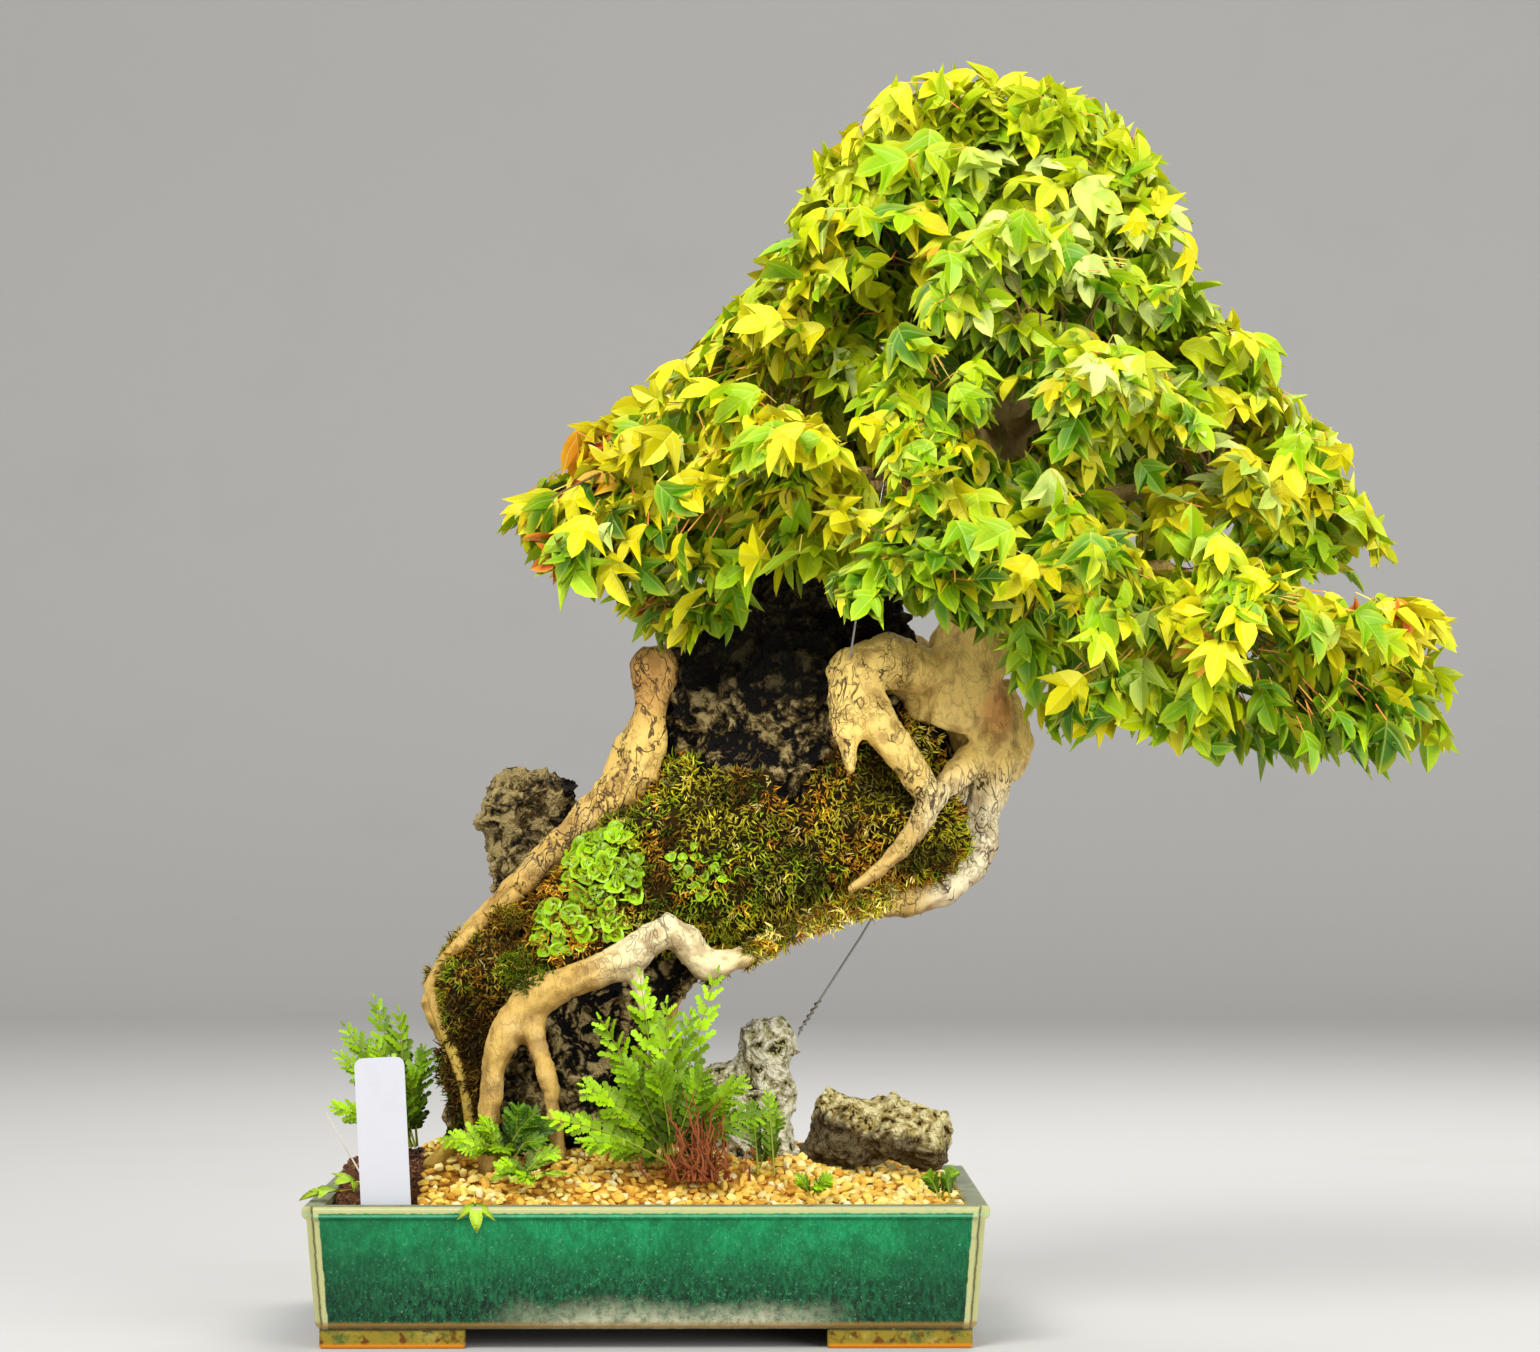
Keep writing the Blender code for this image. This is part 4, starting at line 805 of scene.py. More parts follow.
def barkMaterial():
    material, tree, shader, where = newMaterial("mapleBark", 0.62, specular=0.35)
    x, y, z = axes(tree, where)
    long = stretched(tree, where, 0.55)

    def acrossFrom(first, second):  # grows from the first x to the second, in millimetres
        return span(tree, x, spot(first, 0, 0).x, spot(second, 0, 0).x)

    colour = paint(202, 168, 92)
    for place, second, scale, cover, soft in (
            (where, paint(222, 202, 146), 36.0, 0.5, 0.35), (where, paint(170, 128, 62), 64.0, 0.42, 0.35),
            (long, paint(196, 140, 74), 40.0, 0.36, 0.25), (where, paint(132, 98, 44), 460.0, 0.42, 0.22)):
        colour = patched(tree, place, colour, second, scale, cover, soft)
    # the outer root is painted light, near white, and the trunk has a ruddy patch low on its right
    litOuterRoot = times(tree, acrossFrom(138, 160), span(tree, z, 0.305, 0.285))
    colour = tinted(tree, colour, litOuterRoot, 0.8, paint(250, 238, 198))
    # painted light: lighter and golden from the knuckle up, where the crown shades the trunk
    colour = blend(tree, span(tree, z, 0.262, 0.305, 0.0, 0.75), colour, paint(252, 214, 118))
    ruddy = spotMask(tree, where, spot(188, -24, 328), 0.024, 0.006, 0.7)
    colour = blend(tree, ruddy, colour, paint(226, 142, 76))
    # the roots at the left are golden, and the front root is cream at its bend, with olive patches
    colour = tinted(tree, colour, acrossFrom(24, 0), 0.35, paint(186, 142, 52))
    cream = patched(tree, where, paint(240, 228, 180), paint(150, 142, 62), 150.0, 0.40, 0.2)
    colour = blend(tree, spotMask(tree, where, spot(14, -62, 200), 0.050, 0.022, 0.75), colour, cream)
    # the thin root at the left is mossy, and the head of the left root is brown
    mossy = times(tree, acrossFrom(-86, -91), span(tree, z, 0.172, 0.150))
    colour = tinted(tree, colour, mossy, 0.6, paint(176, 150, 36))
    head = times(tree, acrossFrom(26, 14), span(tree, z, 0.312, 0.334))
    colour = tinted(tree, colour, head, 0.55, paint(170, 108, 54))
    # cracks and winding lines, but few on the trunk and on the roots that reach the soil
    plates = cracked(tree, long, 112.0, 0.055, 0.022, 0.46)
    fine = times(tree, cracked(tree, where, 250.0, 0.08, 0.010, 0.47), 0.45)
    winding = times(tree, span(tree, ridged(tree, long, 84.0), 0.15, 0.05),
                    span(tree, cloud(tree, where, 34, 3), 0.44, 0.54))
    lines = calc(tree, "MAXIMUM", calc(tree, "MAXIMUM", plates, winding), fine)
    lines = times(tree, lines, span(tree, z, 0.175, 0.240, 0.22, 1.0))
    onTrunk = times(tree, acrossFrom(130, 146), span(tree, z, 0.285, 0.305))
    lines = times(tree, lines, minus(tree, 1.0, times(tree, onTrunk, 0.75)))
    mottled = span(tree, cloud(tree, long, 70, 4, 0.7), 0.50, 0.60)
    colour = tinted(tree, colour, times(tree, onTrunk, mottled), 0.35, paint(150, 122, 76))
    # darker in hollows and below: painted shade, from the rise mark and on the faces that point down
    hollow = span(tree, readMark(tree, "rise").outputs["Fac"], 0.46, 0.10)
    colour = tinted(tree, colour, hollow, 0.5, paint(134, 94, 42))
    under = times(tree, span(tree, facing(tree)[2], 0.1, -0.8, 0.0, 0.6), span(tree, z, 0.30, 0.24, 0.2))
    colour = blend(tree, under, colour, paint(120, 84, 40))
    colour = tinted(tree, colour, lines, 0.92, paint(56, 34, 10))
    # the upper trunk and limbs are shaded brown grey
    colour = blend(tree, span(tree, z, 0.36, 0.46, 0.0, 0.7), colour, paint(96, 76, 40))
    feed(tree, shader["Base Color"], colour)
    height = minus(tree, times(tree, grained(tree, long, 380.0, 0.7), 0.5), times(tree, lines, 1.1))
    height = plus(tree, height, times(tree, grained(tree, long, 130.0), 2.6))
    feed(tree, shader["Normal"], bumped(tree, height, 0.8, 0.0012))
    return material


def makeTree():
    layers = [(texture("barkSwell", "CLOUDS", 15), 3.4, 0.5),
              (texture("barkPlates", "VORONOI", 9), 1.6, 0.4),
              (texture("barkFurrow", "MUSGRAVE", 5, noise_intensity=0.5, **fineFolds), 0.8, 0.6)]
    body = worked("tree", "maple_tree", 1.9, 7, layers)
    return handOver(body, barkSkin, "bark", "tree")


rock = makeRock()
makeStones()
barkSkin = barkMaterial()
tree = makeTree()
print("rock, stones and tree done")

# moss

moss = {"clumps": 9000, "gap": 2.9, "strands": 7, "length": (3.6, 7.6), "thick": (0.8, 1.5), "fringe": 260}

# moss that creeps over rock and roots, seen from the front: x, z, half sizes, clumps, family
mossPatches = [
    (-66, 190, 13, 10, 130, "green"), (60, 206, 60, 12, 90, "olive"), (-96, 150, 12, 40, 60, "rust"),
    (120, 236, 20, 12, 40, "rust")]

# where the moss hangs over the root at its lower edge, seen from the front: x, z
mossEdge = [(128, 226), (106, 219), (84, 211), (66, 202), (50, 194)]

# the plug of moss beside the left root: where it starts from, its middle (x, z) and clumps
mossPlug = {"from": (-68, 204), "middle": (-75, 216), "clumps": 110}


def strandModels():
    models = []
    for bend in (0.8, -0.7, 1.4):
        deselectAll()
        bpy.ops.mesh.primitive_cone_add(vertices=3, radius1=0.5, radius2=0, depth=1, end_fill_type="TRIFAN",
                                        location=(0, 0, 0.5))
        strand = settle(newest("strand"))
        points = pointsOf(strand)
        middle = np.hypot(points[:, 0], points[:, 1]) > 0.1
        points[middle, 0] += bend
        points[middle, 2] = 0.42
        strand.data.vertices.foreach_set("co", points.ravel())
        models.append(modelFrom(strand, tip=points[:, 2:].clip(0, 1)))
    return models


def mossMaterial():
    material, tree, shader, where = newMaterial("mossStrand", 0.9, specular=0.15)
    tint = readMark(tree, "tint").outputs["Color"]
    tip = readMark(tree, "tip").outputs["Fac"]
    dark = blend(tree, 0.75, tint, paint(40, 30, 4))
    colour = blend(tree, span(tree, tip, 0.05, 0.85), dark, tint)
    feed(tree, shader["Base Color"], colour)
    feed(tree, shader["Normal"], bumped(tree, grained(tree, where, 700.0), 0.3, 0.0005))
    return material


mossTints = {
    "olive": [paint(196, 182, 44), paint(172, 162, 32), paint(214, 200, 72), paint(138, 130, 20)],
    "rust": [paint(196, 140, 40), paint(168, 112, 26), paint(214, 168, 60), paint(126, 84, 18)],
    "green": [paint(148, 166, 30), paint(118, 144, 22), paint(172, 186, 50)],
    "straw": [paint(232, 214, 124), paint(216, 194, 92)],
}


def mossFamily(x, z, place, draw):
    # ruddy at the left, green in the middle
    rusty = 0.16 + 0.42 * (x < 0.35) * (z < 0.75) + 1.3 * noise.noise(Vector(place) * 26)
    leafy = 0.14 + 1.2 * noise.noise(Vector(place) * 20 + Vector((7, 0, 0))) + 0.2 * (0.45 < x < 0.8)
    roll = draw.random()
    return "rust" if roll < rusty else "green" if roll < rusty + leafy else "straw" if roll > 0.95 else "olive"


def mossClump(place, normal, family, draw, sizes=1.0):
    # strands that fan out from one foot, darker low on the left as painted shade
    rows = []
    dim = np.interp(place[2], (0.14, 0.23), (0.2, 0.8)) if place[0] < spot(-60, 0, 0).x else 1.0
    dim *= draw.uniform(0.8, 1.2) * np.clip(1.0 + 1.9 * noise.noise(Vector(place) * 62), 0.3, 1.5)
    tints = mossTints[family]
    for number in range(moss["strands"]):
        tint = np.array(tints[draw.integers(len(tints))]) * draw.uniform(0.8, 1.2) * dim
        aim = Vector(normal) * 0.7 + Vector(draw.normal(0, 0.6, 3)) + Vector((0, -0.1, -0.2))
        length, thick = draw.uniform(*moss["length"]) * mm * sizes, draw.uniform(*moss["thick"]) * mm * sizes
        turn = standing(aim) @ spun(draw)
        foot = np.array(place) - np.array(normal) * 0.6 * mm + draw.normal(0, 0.5, 3) * mm
        rows.append((draw.integers(3), foot, turn @ np.diag([thick, thick, length]), {"tint": tint}))
    return rows


def makeMoss():
    draw = np.random.default_rng(21)
    layers = [(texture("mossLumps", "CLOUDS", 10), 6.5, 0.5), (texture("mossTufts", "VORONOI", 5), 2.4, 0.5)]
    base = worked("moss", "moss_bed", 2.2, 2, layers)
    places, normals = spreadOver(base, moss["clumps"], draw,
                                 lambda middle, normal: 0.05 + np.clip(-normal[:, 1] + 0.3, 0, 1))
    low, high = (Vector(corner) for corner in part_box("moss"))
    copies = []
    for number in wellApart(places, moss["gap"] * mm):
        place, normal = places[number], normals[number]
        x, z = (place[0] - low.x) / (high.x - low.x), (place[2] - low.z) / (high.z - low.z)
        copies += mossClump(place, normal, mossFamily(x, z, place, draw), draw)
    # the ragged lower edge, with straw and rust hanging from it
    ends, heights = zip(*sorted(mossEdge))
    for number in range(moss["fringe"]):
        x = draw.uniform(ends[0], ends[-1])
        place = spot(x, draw.uniform(-54, -44), np.interp(x, ends, heights) + draw.uniform(-2, 9))
        family = ("straw", "rust", "olive", "green")[draw.choice(4, p=[0.25, 0.3, 0.35, 0.1])]
        copies += mossClump(place, (0.1, -0.8, -0.35), family, draw, 1.15)
    withRoots, withoutRoots = surfaceOf(base, rock, tree), surfaceOf(base, rock)
    # a plug of moss between the left root and its bed
    deep = frontOf(surfaceOf(base), *mossPlug["from"])[0].y - potMiddle.y
    for number in range(mossPlug["clumps"]):
        x, z = (draw.normal(middle, 3.2) for middle in mossPlug["middle"])
        place = spot(x, deep / mm + draw.uniform(-1, 7), z)
        copies += mossClump(place, (0.1, -0.8, 0.3), "rust" if draw.random() < 0.6 else "olive", draw)
    for x, z, wide, tall, count, family in mossPatches:
        surface = withRoots if family == "green" else withoutRoots
        for number in range(count):
            place, normal = frontOf(surface, *within(draw, x, z, wide, tall))
            if place is not None:
                copies += mossClump(np.array(place), np.array(normal), family, draw)
    fuzz = scattered("moss_strands", strandModels(), copies, 50)
    # the bed is dark, as painted shade in the gaps between the strands
    handOver(base, earthMaterial("mossBedShade", paint(50, 40, 8), paint(18, 14, 3), 240.0), "moss", "moss")
    return handOver(fuzz, mossMaterial(), "moss")


# the thin root over the moss at the left, seen from the front: x, z, radius
mossRoot = [
    (-70, 230, 4.6), (-79, 221, 4.6), (-89, 214, 4.3), (-101, 202, 3.9), (-111, 191, 3.7), (-117, 180, 3.5),
    (-113, 168, 3.4), (-107, 155, 3.6), (-101, 141, 3.3), (-97, 127, 3.0), (-94, 112, 3.3), (-92, 96, 3.6)]


def makeMossRoot():
    # a thin root that runs down over the moss at the left
    surface = surfaceOf(bpy.data.objects["moss_bed"], rock, tree)
    route = []
    for x, z, size in mossRoot:
        place = frontOf(surface, x, z)[0]
        deep = place.y - potMiddle.y if place else -0.03
        route.append((*spot(x, deep / mm - 1.0, z), size))
    thing = strands("moss_root", [route], resolution=2)
    mark(thing, "rise", np.full(len(thing.data.vertices), 0.6))
    return handOver(thing, barkSkin, "bark")


makeMoss()
makeMossRoot()
print("moss done")

# maple leaves

# right half of the blade from its foot to its tip: across, along, how far it rises between the veins
leafEdge = [
    (0.0, 0.0, 0.0), (0.10, 0.03, 0.03), (0.24, 0.15, 0.05), (0.34, 0.34, 0.07), (0.55, 0.67, 0.0),
    (0.33, 0.58, 0.05), (0.17, 0.53, 0.09), (0.19, 0.70, 0.06), (0.12, 0.87, 0.03), (0.0, 1.0, 0.0)]

leaf = {"perSpray": 196, "gap": 6.6, "length": (20, 32), "stalk": (8, 15), "stalkThick": 0.9, "thick": 0.014,
        "edgeZone": 45, "margin": 7}

# the crown's edge seen from the front: x, z up the left side, up the right side and along the underside
crownLeft = [
    (-6, 365), (-27, 390), (-64, 404), (-82, 432), (-42, 473), (-16, 494), (27, 529), (45, 548), (64, 576),
    (80, 618), (123, 655), (165, 673)]
crownRight = [
    (400, 290), (424, 296), (435, 330), (432, 376), (399, 419), (371, 478), (349, 507), (306, 567),
    (279, 615), (257, 647), (190, 673)]
crownUnder = [
    (-90, 425), (-65, 402), (-30, 387), (-14, 362), (40, 362), (52, 388), (100, 380), (112, 366),
    (130, 388), (186, 364), (194, 318), (230, 302), (425, 290), (440, 300)]

# places where the sprays are filled out: x, y, z, half sizes, leaves
leafFill = {
    "spray_apex": [
        (150, -8, 650, 28, 30, 14, 56), (192, 0, 658, 42, 26, 10, 44), (228, -10, 640, 34, 30, 20, 46)],
    "spray_crown_left": [(108, -10, 618, 26, 28, 14, 44), (150, -30, 604, 34, 26, 18, 44)],
    "spray_crown_right": [(254, -8, 622, 22, 26, 20, 44), (226, -34, 600, 36, 26, 18, 46)],
    "spray_mid_left": [
        (6, -6, 506, 32, 30, 16, 54), (60, -10, 556, 22, 26, 22, 36), (104, -6, 545, 24, 24, 20, 40)],
    "spray_left_low": [
        (-50, -10, 420, 30, 34, 14, 66), (-10, -30, 408, 42, 34, 13, 60)],
    "spray_left_front": [(60, -70, 410, 44, 30, 14, 66)],
    "spray_right_mid": [
        (356, 0, 462, 20, 32, 22, 48), (300, -40, 440, 40, 30, 22, 50)],
    "spray_right_front": [(245, -70, 328, 44, 34, 14, 60), (330, -50, 320, 56, 34, 16, 80)],
    "spray_crown_back": [
        (140, 46, 512, 52, 14, 46, 80), (226, 46, 500, 46, 14, 60, 90), (198, 52, 474, 28, 10, 22, 40),
        (124, 50, 448, 22, 12, 20, 40), (160, 50, 544, 20, 10, 16, 28), (128, 50, 560, 20, 10, 14, 24),
        (115, 50, 492, 18, 10, 16, 24), (176, 46, 592, 18, 10, 14, 24), (160, 50, 514, 18, 10, 14, 30),
        (202, 50, 520, 16, 10, 14, 24)],
    "spray_left_back": [(60, 46, 452, 50, 14, 44, 60), (26, 40, 424, 20, 12, 14, 40)],
    "spray_right_tip": [(416, -20, 336, 14, 24, 18, 26), (410, -10, 372, 18, 24, 12, 22)],
}

# hollows between the pads, where the front leaves are left out and the rest are deep green, as painted shade:
# x, z, half sizes
hollows = [
    (196, 478, 24, 25), (131, 580, 15, 11), (158, 506, 14, 16), (274, 464, 24, 11), (112, 540, 11, 12),
    (232, 552, 12, 8), (24, 420, 16, 6), (328, 366, 14, 7)]


def flatBlade(name, rim, middle, thick):
    # a thin blade made from a cone: its rim, and a middle point on each face
    deselectAll()
    bpy.ops.mesh.primitive_cone_add(vertices=len(rim), radius1=0.5, radius2=0, depth=0.2,
                                    end_fill_type="TRIFAN")
    blade = newest(name)
    points = pointsOf(blade)
    onRim = np.hypot(points[:, 0], points[:, 1]) > 0.1
    # from the foot round by the right edge
    ring = sorted(np.flatnonzero(onRim), key=lambda number: (
        math.atan2(points[number][1], points[number][0]) + math.pi / 2) % (2 * math.pi))
    faces = np.sign(points[~onRim, 2])
    points[~onRim] = middle
    points[~onRim, 2] += thick * faces
    points[ring] = rim
    return blade, points, onRim


def leafModel(side, droop, fold, curl):
    rim = leafEdge + [(-x, y, lift) for x, y, lift in leafEdge[-2:0:-1]]
    # the two side lobes are longer or shorter
    rim = [(x * side, 0.40 + (y - 0.40) * side, lift) if abs(x) > 0.33 and y > 0.5 else (x, y, lift)
           for x, y, lift in rim]
    blade, points, onRim = flatBlade("leaf", rim, (0, 0.34, 0), leaf["thick"])
    x, y = points[:, 0], points[:, 1]
    marks = np.column_stack([x, y, onRim])
    bow = droop * (y - 0.3) ** 2 * np.sign(y - 0.3) * (y > 0.3)
    points[:, 2] += fold * np.abs(x) - bow - 0.5 * fold * x * x * 4
    points[:, 2] += curl * x * y
    blade.data.vertices.foreach_set("co", points.ravel())
    blade.data.update()
    editAll(blade)
    bpy.ops.mesh.normals_make_consistent(inside=False)
    return modelFrom(leaveEdit(blade), leafAt=marks)


def stalkModel():
    deselectAll()
    bpy.ops.mesh.primitive_cone_add(vertices=3, radius1=0.5, radius2=0.35, depth=1, location=(0, 0, 0.5))
    stalk = settle(newest("stalk"))
    marks = np.tile([0.0, 0.0, 2.0], (len(stalk.data.vertices), 1))
    return modelFrom(stalk, leafAt=marks)


leafModels = [
    leafModel(1.0, 0.30, 0.30, 0.0), leafModel(1.08, 0.45, 0.22, 0.15), leafModel(0.9, 0.22, 0.38, -0.15),
    leafModel(1.0, 0.60, 0.30, 0.1), leafModel(0.84, 0.35, 0.18, -0.1), leafModel(1.12, 0.15, 0.34, 0.2)]
stalkNumber = len(leafModels)
leafModels.append(stalkModel())

leafTints = {
    "fresh": [
        paint(202, 216, 6), paint(210, 220, 10), paint(190, 208, 5), paint(178, 202, 5),
        paint(214, 222, 44)],
    "lime": [paint(150, 194, 8), paint(130, 178, 6), paint(164, 202, 14)],
    # deep: darker green, laid as painted shade inside the crown
    "deep": [paint(82, 134, 4), paint(66, 110, 3), paint(98, 150, 6)],
    "gold": [paint(230, 220, 12), paint(222, 208, 10), paint(236, 228, 40)],
    # pale: whitish green, a painted sheen on lit leaves
    "pale": [paint(206, 226, 104), paint(194, 218, 84), paint(216, 232, 130)],
    "warm": [paint(232, 150, 38), paint(220, 104, 38), paint(206, 84, 38), paint(236, 178, 46)],
    "stalk": [paint(232, 168, 70), paint(222, 134, 62), paint(222, 196, 84)],
}


# where the camera stands, in metres from the middle of the pot, and how it frames the view, in pixels
view = {"from": (0.040, -2.325, 0.279), "focal": 4325, "frame": 1540, "offset": (45, 124)}


def onPlane(place):
    # where the camera sees it on the plane of the trunk, in millimetres: x, z
    right, back, up = view["from"]
    away = back / (back - place[1] + potMiddle.y) / mm
    return right / mm + (place[0] - potMiddle.x - right) * away, up / mm + (place[2] - up) * away


def hollowness(place):
    # above 1 inside a hollow between pads, falling to 0 away from it
    x, z = onPlane(place)
    return max(2 - math.hypot((x - left) / wide, (z - low) / tall) for left, low, wide, tall in hollows)


def tintFor(place, high, draw):
    # golden towards the lower right and ruddy at the left tips; painted light and shade as well: a pale painted
    # sheen on the right shoulder, more gold as painted light on high leaves and at the crown's edge, and deep
    # green as painted shade inside, in the hollows and under the pads
    seenX, seenZ = onPlane(place)
    under = np.interp(seenZ - np.interp(seenX, *zip(*crownUnder)), (12, 58), (1, 0))
    x, z = (place[0] - potMiddle.x) / mm, place[2] / mm
    drift, edge = noise.noise(Vector(place) * 15), edgeOf(place)
    shares = {
        "warm": (0.004 + 0.30 * np.interp(x, (-75, -15), (1, 0)) * (z > 400)
                 + 0.16 * (-20 < x < 40) * (500 < z < 525)),
        "deep": (0.30 - 0.42 * high - 0.2 * drift + 0.6 * np.clip(hollowness(place), 0, 1) - 0.2 * edge
                 + 0.25 * under),
        "gold": ((0.04 + 0.50 * np.interp(z, (440, 500), (1, 0)) + 0.25 * edge) * (0.1 + 0.9 * high)
                 + 0.25 * drift + 0.45 * (x < 90) * (z < 540)) * (1 - 0.7 * under),
        "pale": 0.02 + 0.24 * (170 < x < 360) * (430 < z < 635),
        "lime": 0.30 - 0.35 * drift - 0.2 * edge + 0.2 * under,
    }
    roll = draw.random()
    family = "fresh"
    for name, share in shares.items():
        if roll < share:
            family = name
            break
        roll -= max(share, 0)
    choices = leafTints[family]
    tint = np.array(choices[draw.integers(len(choices))])
    tint[:3] *= draw.uniform(0.78, 0.98)
    return tint


def leafMaterial():
    material, tree, shader, where = newMaterial("mapleLeaf", 0.45, specular=0.32)
    tint = readMark(tree, "tint").outputs["Color"]
    across, along, rim = axes(tree, readMark(tree, "leafAt").outputs["Vector"])
    across = calc(tree, "ABSOLUTE", across)
    stalk = calc(tree, "GREATER_THAN", rim, 1.5)
    sideVein = minus(tree, times(tree, across, 0.55), times(tree, minus(tree, along, 0.12), 0.52))
    vein = calc(tree, "MAXIMUM", span(tree, across, 0.028, 0.010),
                span(tree, calc(tree, "ABSOLUTE", sideVein), 0.016, 0.006))
    colour = patched(tree, where, tint, blend(tree, 0.25, tint, paint(90, 160, 10)), 150.0, 0.45, 0.3)
    colour = tinted(tree, colour, vein, 0.45, blend(tree, 0.45, colour, paint(236, 240, 120)))
    edge = times(tree, span(tree, rim, 0.62, 1.0), minus(tree, 1.0, stalk))
    colour = tinted(tree, colour, edge, 0.22, paint(234, 224, 40))
    feed(tree, shader["Base Color"], blend(tree, stalk, colour, tint))
    ribs = calc(tree, "SINE", times(tree, minus(tree, along, across), 62.0))
    height = plus(tree, times(tree, ribs, 0.12), times(tree, vein, -0.6))
    feed(tree, shader["Normal"], bumped(tree, height, 0.35, 0.0006))
    feed(tree, shader["Roughness"], plus(tree, 0.38, times(tree, cloud(tree, where, 90), 0.22)))
    return material


def leafCopy(foot, aim, face, length, tint, draw, stalkTint=None, stalkEnd=None):
    # a blade and its stalk
    width = length * draw.uniform(0.92, 1.12)
    turn = turnTo(aim, face)
    rows = [(int(draw.integers(stalkNumber)), foot, turn @ np.diag([width, length, length]), {"tint": tint})]
    if stalkEnd is not None:
        back = Vector(stalkEnd) - Vector(foot)
        thick = leaf["stalkThick"] * mm
        turn = standing(back) @ np.diag([thick, thick, back.length])
        rows.append((stalkNumber, foot, turn, {"tint": stalkTint}))
    return rows


def crownSides(z):
    return [np.interp(z, *reversed(list(zip(*side)))) for side in (crownLeft, crownRight)]


def edgeOf(place):
    # 1 at the crown's edge as seen from the front, 0 well inside it
    x, z = onPlane(place)
    left, right = crownSides(z)
    return float(np.clip(1 - min(x - left, right - x, crownLeft[-1][1] - z) / leaf["edgeZone"], 0, 1))


def insideCrown(place):
    x, z = onPlane(place)
    left, right = crownSides(z)
    margin = leaf["margin"]
    return (left + margin < x < right - margin
            and np.interp(x, *zip(*crownUnder)) + margin < z < crownLeft[-1][1] - margin)


def sprayNames():
    return sorted(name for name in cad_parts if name.startswith("spray_"))


def makeSpray(nodeName, seed, material):
    draw = np.random.default_rng(seed)
    low, high = (np.array(corner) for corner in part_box(nodeName))
    middle, half = (low + high) / 2, (high - low) / 2
    body = mergedCopy(nodeName, "leaves_" + nodeName[6:])
    places, normals = spreadOver(body, leaf["perSpray"] * 9, draw)
    bpy.data.objects.remove(body, do_unlink=True)
    kept = wellApart(places, leaf["gap"] * mm)[:leaf["perSpray"]]
    more = [spot(x + draw.uniform(-wide, wide), y + draw.uniform(-deep, deep), z + draw.uniform(-tall, tall))
            for x, y, z, wide, deep, tall, count in leafFill.get(nodeName, []) for number in range(count)]
    places = np.array([*places[kept], *more])
    kept = [number for number, place in enumerate(places) if insideCrown(place)
            and (place[1] > potMiddle.y - 0.012 or hollowness(place) < 1)]
    crown = np.array(spot(170, 10, 0))
    copies = []
    for number in kept:
        place = places[number]
        local = (place - middle) / half
        away = place - crown
        away[2] = 0
        away /= max(np.linalg.norm(away), 1e-6)
        out = Vector((local[0], local[1], 0)) * 0.7 + Vector(away) * 0.5
        out.normalize()
        rise = float(np.clip(local[2], -1, 1))
        aim = (out * draw.uniform(0.35, 0.9) + Vector((0, 0, -0.5 + 0.25 * rise))
               + Vector(draw.normal(0, 0.42, 3)))
        face = Vector((0, 0, 0.5)) + out * 0.65 + Vector(draw.normal(0, 0.36, 3))
        length = draw.uniform(*leaf["length"]) * mm
        foot = place - np.array(aim.normalized()) * length * 0.5
        inward = Vector(middle - foot).normalized() - aim.normalized() * 0.6
        stem = foot + np.array(inward.normalized()) * draw.uniform(*leaf["stalk"]) * mm
        # how high and far out the leaf sits: high ones get more painted light in their tint, low ones more
        # painted shade
        outward = float(np.clip(0.5 + 0.35 * rise + 0.35 * np.linalg.norm(local[:2]) - 0.2, 0, 1))
        stalkTint = leafTints["stalk"][draw.integers(3)]
        copies += leafCopy(foot, aim, face, length, tintFor(place, outward, draw), draw, stalkTint, stem)
    whole = scattered("leaves_" + nodeName[6:], leafModels, copies, 32)
    return handOver(whole, material, "maple_leaf", nodeName)


leafSkin = leafMaterial()
for seed, nodeName in enumerate(sprayNames()):
    makeSpray(nodeName, 100 + seed, leafSkin)
print("leaves done")

# twigs between limbs and leaves

twig = {"perSpray": 11, "above": 0.385, "thick": 1.1, "thin": 0.45}  # they fork off the limbs above this height


def makeTwigs():
    draw = random.Random(31)
    points, faces = pointsOf(tree), trianglesOf(tree)
    high = points[faces][:, :, 2].min(axis=1) > twig["above"]
    near = BVHTree.FromPolygons([Vector(point) for point in points], faces[high].tolist())
    routes = []
    for nodeName in sprayNames():
        low, high = (Vector(corner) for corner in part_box(nodeName))
        middle, half = (low + high) / 2, (high - low) / 2
        fork = near.find_nearest(middle - Vector((0, 0, half.z * 0.6)))[0]
        for number in range(twig["perSpray"]):
            aim = Vector([draw.uniform(-0.6, 0.6) * side for side in half])
            if insideCrown(middle + aim):
                routes.append(arc(fork, middle + aim, 0.004, 5, twig["thick"], twig["thin"], 0.003, draw))
    skin = plainMaterial("twigBark", paint(122, 92, 50), paint(164, 108, 54), 90.0, 0.7)
    return handOver(strands("twigs", routes, 0), skin, "bark")


makeTwigs()

# ferns and small weeds

fern = {"pairs": 10, "spread": math.sqrt(8), "light": paint(150, 192, 12), "dark": paint(36, 82, 4),
        "rib": paint(140, 150, 50)}


def pinnaModel(droop):
    # one leaflet with rounded lobes that point forward, y along it
    outline = [(0.0, 0.0)]
    for lobe in range(4):
        t = 0.06 + 0.21 * lobe
        wide = 0.25 - 0.035 * lobe
        outline += [(wide * 0.30, t), (wide * 0.86, t + 0.12), (wide * 0.92, t + 0.24)]
    outline.append((0.0, 1.0))
    outline += [(-x, y) for x, y in outline[-2:0:-1]]
    rim = [(x, y, 0.25 * abs(x) - droop * y * y) for x, y in outline]
    blade, points, onRim = flatBlade("pinna", rim, (0, 0.45, -droop * 0.2), 0.02)
    blade.data.vertices.foreach_set("co", points.ravel())
    editAll(blade)
    bpy.ops.mesh.normals_make_consistent(inside=False)
    return modelFrom(leaveEdit(blade))


